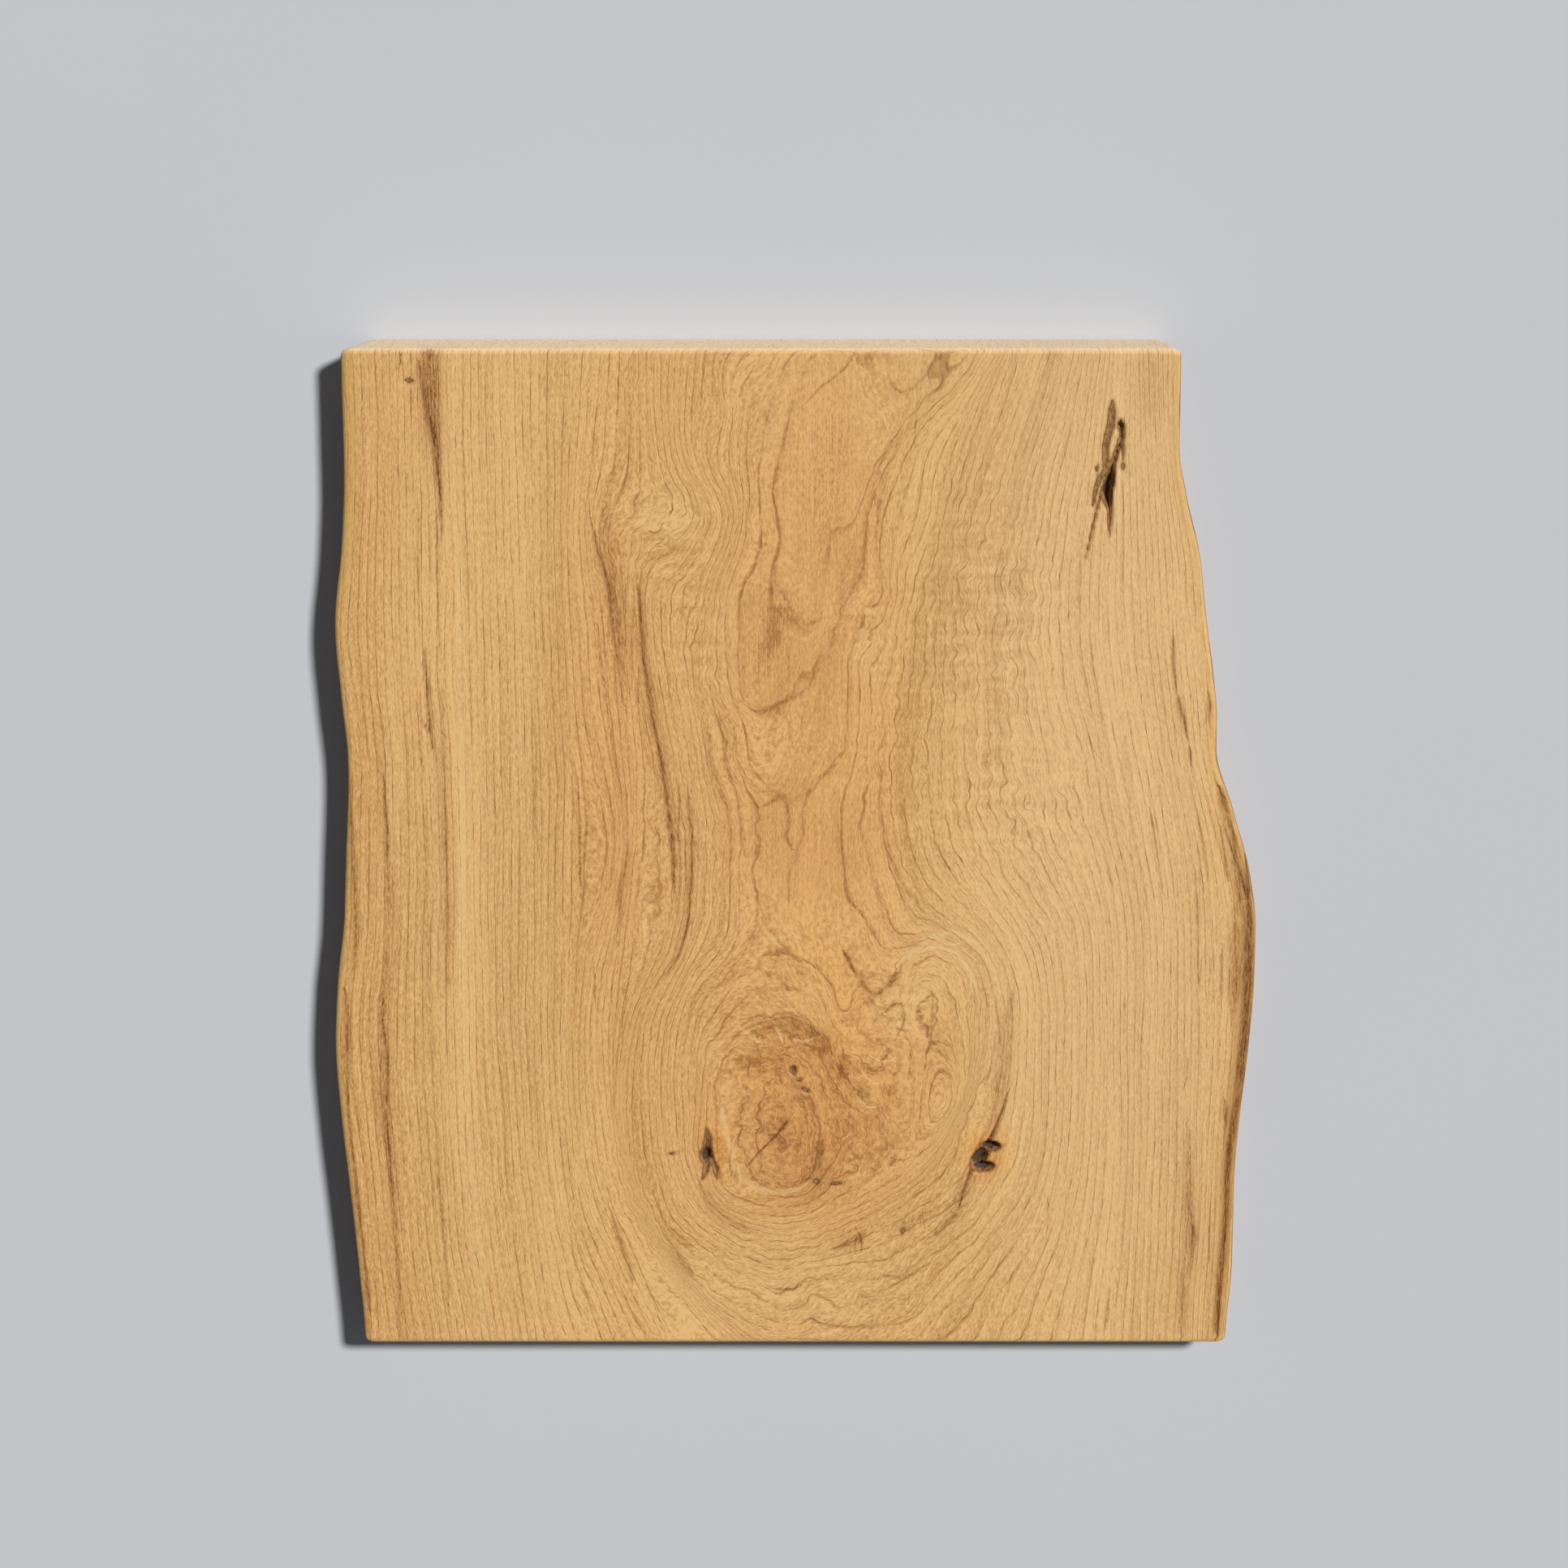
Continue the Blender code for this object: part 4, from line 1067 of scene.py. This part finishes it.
def mesh_from(name, points, quads, triangles):
    """A smooth-shaded mesh of quads and triangles."""
    mesh = bpy.data.meshes.new(name)
    corners = np.concatenate((quads.ravel(), triangles.ravel()))
    sizes = np.concatenate((np.full(len(quads), 4), np.full(len(triangles), 3)))
    mesh.vertices.add(len(points))
    mesh.vertices.foreach_set("co", points.astype(np.float32).ravel())
    mesh.loops.add(len(corners))
    mesh.loops.foreach_set("vertex_index", corners.astype(np.int32))
    mesh.polygons.add(len(sizes))
    mesh.polygons.foreach_set("loop_start", (np.cumsum(sizes) - sizes).astype(np.int32))
    mesh.polygons.foreach_set("use_smooth", np.ones(len(sizes), bool))
    mesh.update(calc_edges=True)
    mesh.validate()
    return mesh


class Wiring:
    """Short calls for building a node tree. A value is a socket or a plain number,
    and a colour is a socket or three numbers."""

    def __init__(self, tree):
        self.tree = tree

    def node(self, kind, inputs=(), **settings):
        node = self.tree.nodes.new(kind)
        for name, value in settings.items():
            setattr(node, name, value)
        for name, value in dict(inputs).items():
            self.feed(node.inputs[name], value)
        return node

    def feed(self, socket, value):
        if isinstance(value, bpy.types.NodeSocket):
            self.tree.links.new(value, socket)
        else:
            socket.default_value = value

    def math(self, operation, first, second=0.0, clamp=False):
        inputs = ((0, first), (1, second))
        return self.node("ShaderNodeMath", inputs, operation=operation, use_clamp=clamp).outputs[0]

    def times(self, first, second, clamp=False):
        return self.math("MULTIPLY", first, second, clamp)

    def plus(self, first, second, clamp=False):
        return self.math("ADD", first, second, clamp)

    def swing(self, value, amount):
        """A noise about its middle, which is one half, times an amount."""
        return self.times(self.math("SUBTRACT", value, 0.5), amount)

    def lifted(self, value, more, least):
        """A mask that is never less than least, and by more greater where it is full."""
        return self.plus(self.times(value, more), least)

    def step(self, value, low, high, out_low=0.0, out_high=1.0):
        """A smooth step from out_low to out_high, while the value goes from low to high."""
        inputs = (
            ("Value", value), ("From Min", low), ("From Max", high),
            ("To Min", out_low), ("To Max", out_high))
        node = self.node("ShaderNodeMapRange", inputs, interpolation_type="SMOOTHSTEP", clamp=True)
        return node.outputs["Result"]

    def named_step(self, value, name):
        return self.step(value, *STEPS[name])

    def mix(self, factor, first, second, blend="MIX"):
        node = self.node("ShaderNodeMix", data_type="RGBA", blend_type=blend)
        self.feed(node.inputs[0], factor)
        for place, colour in ((6, first), (7, second)):
            is_socket = isinstance(colour, bpy.types.NodeSocket)
            self.feed(node.inputs[place], colour if is_socket else (*colour, 1.0))
        return node.outputs[2]

    def tint(self, factor, colour, tint):
        return self.mix(factor, colour, tint, "MULTIPLY")

    def between(self, share, first, second):
        return self.node("ShaderNodeMix", ((0, share), (2, first), (3, second))).outputs[0]

    def vector(self, x, y, z):
        return self.node("ShaderNodeCombineXYZ", (("X", x), ("Y", y), ("Z", z))).outputs[0]

    def noise(self, vector, detail, roughness=0.5, distortion=0.0, scale=1.0):
        inputs = (
            ("Vector", vector), ("Scale", scale), ("Detail", detail),
            ("Roughness", roughness), ("Distortion", distortion))
        return self.node("ShaderNodeTexNoise", inputs).outputs[0]

    def amount(self, name):
        return self.node("ShaderNodeAttribute", attribute_name=name).outputs["Fac"]

    def parts(self, vector):
        node = self.node("ShaderNodeSeparateXYZ", (("Vector", vector),))
        return node.outputs[0], node.outputs[1], node.outputs[2]

    def amounts(self, name):
        return self.parts(self.node("ShaderNodeAttribute", attribute_name=name).outputs["Vector"])


def grain_look(wires):
    """The patterns that the wood is mixed from, by name. Free noises read Object
    coordinates. Noises along the grain read the ring number across, which is shaken
    where the grain is curly or crumpled, and the length along. A ring is dark where
    its wide pores begin, just past each whole number."""
    x, y, z = wires.parts(wires.node("ShaderNodeTexCoord").outputs["Object"])
    curly, crumpled, plain = wires.amounts("figure")
    look = {}
    for name, (cells, *settings) in FREE_NOISES.items():
        place = wires.vector(*(wires.times(part, count) for part, count in zip((x, y, z), cells)))
        look[name] = wires.noise(place, *settings)
    per_height, per_length = BARK_CELLS
    bark_place = wires.vector(
        wires.times(z, per_height), wires.times(y, per_length), wires.times(x, per_length))
    look["bark"] = wires.noise(bark_place, *BARK_NOISE)

    shake = wires.times(wires.swing(look["shake"], SHAKES["shake"]), curly)
    crush = wires.times(wires.swing(look["crush"], SHAKES["crush"]), crumpled)
    drift = wires.swing(look["drift"], SHAKES["drift"])
    count = wires.plus(wires.plus(wires.amount("ring"), drift), wires.plus(shake, crush))
    grain = wires.plus(count, wires.times(x, GRAIN_LEAN))
    down_along = wires.plus(y, z)
    for name, (per_ring, per_metre, *settings) in GRAIN_NOISES.items():
        place = wires.vector(
            wires.times(grain, per_ring), wires.times(x, per_metre), wires.times(down_along, per_metre))
        look[name] = wires.noise(place, *settings)

    phase = wires.math("FRACT", count)
    pores = wires.times(wires.named_step(phase, "pores_begin"), wires.named_step(phase, "pores_end"))
    broken = wires.named_step(look["broken"], "broken")
    look["early"] = wires.times(pores, wires.lifted(broken, *PORE_ROWS))
    look["late"] = wires.named_step(phase, "late")
    for name in ("fibre", "fleck"):
        look[name] = wires.between(plain, look[name], look["plain_" + name])
    dash = wires.named_step(look["dash"], "dash")
    look["dash"] = wires.times(dash, wires.lifted(look["early"], *DASH_ROWS))
    look["cross"] = wires.times(wires.swing(look["cross"], SHAKES["cross"]), curly)
    look["crumple"] = wires.times(wires.swing(look["crumple"], SHAKES["crumple"]), crumpled)
    return look


def plain_wood(wires, settings, look):
    """The wood before its marks: from pale to dark by the sum of the patterns, then
    the zones of cream wood, with painted light over the right half, of knot and amber
    wood, and the sapwood."""
    parts = [wires.times(look[name], amount) for name, amount in DARKENING.items()]
    parts += [wires.swing(look[name], amount) for name, amount in SWINGS.items()]
    dark = functools.reduce(wires.plus, parts + [look["cross"], look["crumple"]])
    dark = wires.plus(dark, BASE_TONE, clamp=True)
    soft = wires.times(dark, SOFT_RINGS)
    colour = wires.mix(dark, settings.pale_wood, settings.ring_wood)
    brown, amber, pale = wires.amounts("zones")
    # Pale zones: cream wood, and painted light over the right half
    colour = wires.mix(pale, colour, wires.mix(soft, settings.cream_wood_and_painted_light, settings.ring_wood))
    colour = wires.mix(brown, colour, wires.mix(dark, settings.knot_wood, settings.knot_dark))
    colour = wires.tint(wires.times(amber, AMBER_STRENGTH), colour, settings.amber_wood)
    sap = wires.times(wires.amount("sap"), SAP_STRENGTH)
    return wires.mix(sap, colour, wires.mix(soft, settings.sapwood, settings.ring_wood))


def with_streaks(wires, settings, look, colour):
    """Adds the streaks: each is full on its route and fades to nothing past its half
    width, inside a wider stain. The distance is shaken, so that the borders aren't
    straight, and the streaks are blotchy and speckled along the grain."""
    wobble = wires.swing(look["wobble"], SHAKES["wobble"])
    blotch = wires.named_step(look["blotch"], "blotch")
    speckle = wires.named_step(look["fleck"], "speckle")
    for name, layer in STREAK_LAYERS.items():
        away, half_width, strength = wires.amounts(name)
        shaken = wires.math("ABSOLUTE", wires.plus(away, wobble))
        share = wires.math("DIVIDE", shaken, half_width)
        mask = wires.times(wires.named_step(share, "streak"), strength)
        mask = wires.times(mask, wires.lifted(blotch, *layer["blotch"]))
        tint = getattr(settings, layer["colour"])
        if layer["stain"]:
            stain = wires.times(wires.named_step(share, "streak_stain"), strength)
            colour = wires.tint(wires.times(stain, layer["stain"]), colour, settings.stain)
            colour = wires.tint(wires.times(mask, speckle, clamp=True), colour, tint)
        else:
            colour = wires.mix(mask, colour, tint)
    return wires.mix(wires.times(look["dash"], DASH_STRENGTH), colour, settings.pore)


def with_sides(wires, settings, look, colour, sawn):
    """Adds the live edges, from bark to the wood under it, and the sawn ends,
    made paler as painted light and crossed by fine pale lines of end grain. Returns the
    colour and the mask of the live edges."""
    under_bark = wires.mix(wires.named_step(look["bark"], "bark"), settings.under_bark, settings.bark)
    ragged_live = wires.plus(wires.amount("live"), wires.swing(look["bark"], SHAKES["bark"]))
    live = wires.named_step(ragged_live, "live")
    colour = wires.mix(live, colour, under_bark)
    # Painted light: the sawn ends are paler, as if lit from above, broken by fine lines of end grain
    lit_end_grain_colour = wires.mix(wires.named_step(look["end"], "end"), settings.end_grain_and_painted_light, colour)
    return wires.mix(wires.times(sawn, END_STRENGTH), colour, lit_end_grain_colour), live


def with_holes(wires, settings, look, colour):
    """Adds the crack, pockets and holes: a stain around them, painted shade along
    their rim, bark inside, and painted shade, near black, where they are deep.
    Returns the colour and the holes' mask."""
    inside, deep, _ = wires.amounts("cut")
    inside = wires.plus(inside, wires.swing(look["ragged"], SHAKES["rim"]))
    stain = wires.times(wires.named_step(inside, "hole_stain"), HOLE_STAIN)
    colour = wires.tint(stain, colour, settings.stain)
    # Painted shade: a narrow dark band at the lip of each cut, in the dark streaks' tint
    shade = wires.times(wires.named_step(inside, "hole_shade"), HOLE_SHADE)
    colour = wires.tint(shade, colour, settings.dark_streak)
    hole = wires.named_step(inside, "hole")
    bark = wires.mix(
        wires.named_step(look["ragged"], "hole_bark"), settings.hole_brown, settings.hole_edge)
    bark = wires.mix(wires.named_step(inside, "hole_rim"), bark, settings.hole_edge)
    # Painted shade: near black towards the middle of the deeper cuts
    within = wires.plus(inside, wires.swing(look["ragged"], SHAKES["depth"]))
    darkness = wires.times(
        wires.named_step(deep, "hole_deep"), wires.named_step(within, "hole_middle"))
    return wires.mix(hole, colour, wires.mix(darkness, bark, settings.painted_hole_shade)), hole


def wood_material(settings):
    """Planed chestnut, with its marks, sides and holes. Pores and fibres are pressed
    in a little, and the rough places shine less."""
    material = bpy.data.materials.new("chestnut")
    material.use_nodes = True
    wires = Wiring(material.node_tree)
    shader = material.node_tree.nodes["Principled BSDF"]
    look = grain_look(wires)
    sawn = wires.amount("sawn")
    colour = with_streaks(wires, settings, look, plain_wood(wires, settings, look))
    colour, live = with_sides(wires, settings, look, colour, sawn)
    colour, hole = with_holes(wires, settings, look, colour)
    wires.feed(shader.inputs["Base Color"], colour)

    rough = wires.plus(ROUGHNESS["plain"], wires.times(look["dash"], ROUGHNESS["dash"]))
    rough = wires.plus(rough, wires.swing(look["fibre"], ROUGHNESS["fibre"]))
    rough = wires.plus(rough, wires.times(wires.plus(live, sawn), ROUGHNESS["sides"]))
    rough = wires.plus(rough, wires.times(hole, ROUGHNESS["hole"]), clamp=True)
    wires.feed(shader.inputs["Roughness"], rough)
    shader.inputs["Specular IOR Level"].default_value = SPECULAR

    reliefs = {
        "dash": look["dash"], "early": look["early"], "fibre": look["fibre"],
        "bark": wires.times(look["bark"], live), "end": wires.times(look["end"], sawn),
        "hole": wires.times(look["ragged"], hole),
    }
    height = functools.reduce(
        wires.plus, [wires.times(reliefs[name], amount) for name, amount in RELIEF.items()])
    bump = wires.node(
        "ShaderNodeBump", (("Height", height), ("Strength", BUMP_STRENGTH), ("Distance", BUMP_DEPTH)))
    wires.feed(shader.inputs["Normal"], bump.outputs["Normal"])
    return material


def floor_material(settings):
    """A matt floor, faintly clouded."""
    material = bpy.data.materials.new("pale_floor")
    material.use_nodes = True
    wires = Wiring(material.node_tree)
    shader = material.node_tree.nodes["Principled BSDF"]
    place = wires.node("ShaderNodeTexCoord").outputs["Object"]
    cloud = wires.named_step(wires.noise(place, 3.0, scale=FLOOR_CLOUDS), "cloud")
    wires.feed(shader.inputs["Base Color"], wires.mix(cloud, settings.floor_colour, FLOOR_GREY))
    shader.inputs["Roughness"].default_value = FLOOR_ROUGHNESS
    return material


def colour_property(name, description, default):
    """A colour that a user can change."""
    return FloatVectorProperty(
        name=name, description=description, default=default, subtype="COLOR", min=0.0, max=1.0)


class SlabSettings(PropertyGroup):
    spacing: FloatProperty(
        name="Spacing", description="Distance between the mesh's points on plain wood",
        default=0.0050, min=0.002, unit="LENGTH")
    fine_spacing: FloatProperty(
        name="Fine spacing", description="Distance between the points around the crack and pockets",
        default=0.0019, min=0.0008, unit="LENGTH")
    pale_wood: colour_property("Pale wood", "The smooth late wood", (0.755, 0.463, 0.186))
    ring_wood: colour_property("Ring wood", "Where a ring's wide pores begin", (0.445, 0.218, 0.066))
    # This colour also paints the light on the right half
    cream_wood_and_painted_light: colour_property("Cream wood", "Palest wood, by crack and small knot", (0.80, 0.565, 0.275))
    knot_wood: colour_property("Knot wood", "Wood of the knot's core", (0.64, 0.350, 0.128))
    knot_dark: colour_property("Dark knot wood", "Rings of the knot's core", (0.31, 0.130, 0.036))
    amber_wood: colour_property("Amber", "Tint of the wood beside the pockets", (1.0, 0.74, 0.36))
    red_streak: colour_property("Red streak", "Tint of the red-brown streaks", (0.50, 0.315, 0.150))
    # This tint also paints the shade at the lips of the crack and pockets
    dark_streak: colour_property("Dark streak", "Tint of the dark brown streaks", (0.36, 0.212, 0.085))
    stain: colour_property("Stain", "Tint beside streaks and holes", (0.52, 0.38, 0.22))
    pore: colour_property("Pore", "Pore dashes", (0.26, 0.125, 0.038))
    sapwood: colour_property("Sapwood", "Yellowish wood beside the live edges", (0.60, 0.39, 0.115))
    under_bark: colour_property("Under the bark", "Lighter live edges", (0.42, 0.22, 0.085))
    bark: colour_property("Bark", "Darker live edges", (0.13, 0.055, 0.022))
    # Painted light on the sawn ends, mixed in fine lines of end grain
    end_grain_and_painted_light: colour_property("End grain", "Paler sawn ends", (0.92, 0.74, 0.50))
    # Painted shade in the deep middle of the crack and pockets
    painted_hole_shade: colour_property("Hole", "Deepest in the crack and pockets", (0.075, 0.040, 0.026))
    hole_edge: colour_property("Rim of the hole", "Outline of crack and pockets", (0.20, 0.095, 0.034))
    hole_brown: colour_property("Bark in the hole", "Lighter part of the crack", (0.34, 0.180, 0.060))


class StageSettings(PropertyGroup):
    floor_colour: colour_property("Floor", "Colour of the floor", (0.52, 0.547, 0.594))
    floor_size: FloatProperty(
        name="Floor size", description="Side of the floor", default=14.0, unit="LENGTH")
    key_strength: FloatProperty(
        name="Key light", description="Strength of the main light", default=3.70)
    key_spread: FloatProperty(
        name="Key spread", description="Angle that the main light fills, which softens its shadows",
        default=math.radians(7.5), subtype="ANGLE")
    fill_strength: FloatProperty(
        name="Fill", description="Strength of the even light", default=0.11)
    camera_tilt: FloatProperty(
        name="Camera tilt", description="Angle between the view and straight down",
        default=math.radians(15.0), subtype="ANGLE")
    camera_distance: FloatProperty(
        name="Camera distance", description="From the camera to the aim point",
        default=4.313, unit="LENGTH")
    camera_lens: FloatProperty(name="Lens", description="Focal length in mm", default=114.07)


class MESH_OT_chestnut_slab(Operator):
    """Makes the slab's skin, its attributes and its wood, in place of the frame's plain slab"""

    bl_idname = "mesh.chestnut_slab"
    bl_label = "Chestnut slab"

    def execute(self, context):
        settings = context.scene.chestnut_slab
        points, quads, triangles, depth, live, sawn = slab_surface(settings)
        mesh = mesh_from("slab_wood", points, quads, triangles)
        for name, values in slab_attributes(points, depth, live, sawn).items():
            put_attribute(mesh, name, values)
        mesh.materials.append(wood_material(settings))
        slab = bpy.data.objects.new("slab_wood", mesh)
        context.scene.collection.objects.link(slab)
        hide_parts("slab")
        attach(slab, "root")
        return {"FINISHED"}


class SCENE_OT_slab_stage(Operator):
    """Makes the pale floor, the soft lights and the camera that looks down on the slab"""

    bl_idname = "scene.slab_stage"
    bl_label = "Stage"

    def execute(self, context):
        settings = context.scene.slab_stage
        bpy.ops.mesh.primitive_plane_add(size=settings.floor_size, location=(0, 0, 0))
        floor = context.object
        floor.name = "floor"
        floor.data.materials.append(floor_material(settings))

        light = bpy.data.lights.new("key", "SUN")
        light.energy = settings.key_strength
        light.angle = settings.key_spread
        light.color = KEY_COLOUR
        key = bpy.data.objects.new("key", light)
        length = math.sqrt(sum(part * part for part in KEY_DIRECTION))
        direction = [part / length for part in KEY_DIRECTION]
        key.location = [KEY_DISTANCE * part for part in direction]
        key.rotation_euler = (
            -math.atan2(direction[1], math.hypot(direction[0], direction[2])),
            math.atan2(direction[0], direction[2]), 0)
        key.rotation_mode = "YXZ"
        context.scene.collection.objects.link(key)

        world = bpy.data.worlds.new("studio")
        world.use_nodes = True
        background = world.node_tree.nodes["Background"]
        background.inputs["Color"].default_value = FILL_COLOUR
        background.inputs["Strength"].default_value = settings.fill_strength
        context.scene.world = world
        context.scene.view_settings.view_transform = "Standard"

        lens = bpy.data.cameras.new("camera")
        lens.lens = settings.camera_lens
        lens.sensor_width = SENSOR
        camera = bpy.data.objects.new("camera", lens)
        tilt = settings.camera_tilt
        camera.location = (
            AIM[0],
            AIM[1] + settings.camera_distance * math.sin(tilt),
            AIM[2] + settings.camera_distance * math.cos(tilt),
        )
        camera.rotation_euler = (-tilt, 0, 0)
        context.scene.collection.objects.link(camera)
        context.scene.camera = camera
        return {"FINISHED"}


class VIEW3D_PT_chestnut_slab(Panel):
    bl_idname = "VIEW3D_PT_chestnut_slab"
    bl_label = "Chestnut slab"
    bl_space_type = "VIEW_3D"
    bl_region_type = "UI"
    bl_category = "Slab"

    def draw(self, context):
        for settings in (context.scene.chestnut_slab, context.scene.slab_stage):
            for name in settings.bl_rna.properties.keys():
                if name not in ("rna_type", "name"):
                    self.layout.prop(settings, name)
        self.layout.operator(MESH_OT_chestnut_slab.bl_idname)
        self.layout.operator(SCENE_OT_slab_stage.bl_idname)


CLASSES = (
    SlabSettings, StageSettings,
    MESH_OT_chestnut_slab, SCENE_OT_slab_stage, VIEW3D_PT_chestnut_slab,
)


def register():
    for each in CLASSES:
        bpy.utils.register_class(each)
    bpy.types.Scene.chestnut_slab = PointerProperty(type=SlabSettings)
    bpy.types.Scene.slab_stage = PointerProperty(type=StageSettings)


def unregister():
    del bpy.types.Scene.slab_stage
    del bpy.types.Scene.chestnut_slab
    for each in reversed(CLASSES):
        bpy.utils.unregister_class(each)


def main():
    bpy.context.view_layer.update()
    register()
    bpy.ops.mesh.chestnut_slab()
    bpy.ops.scene.slab_stage()


if __name__ == "__main__":
    main()
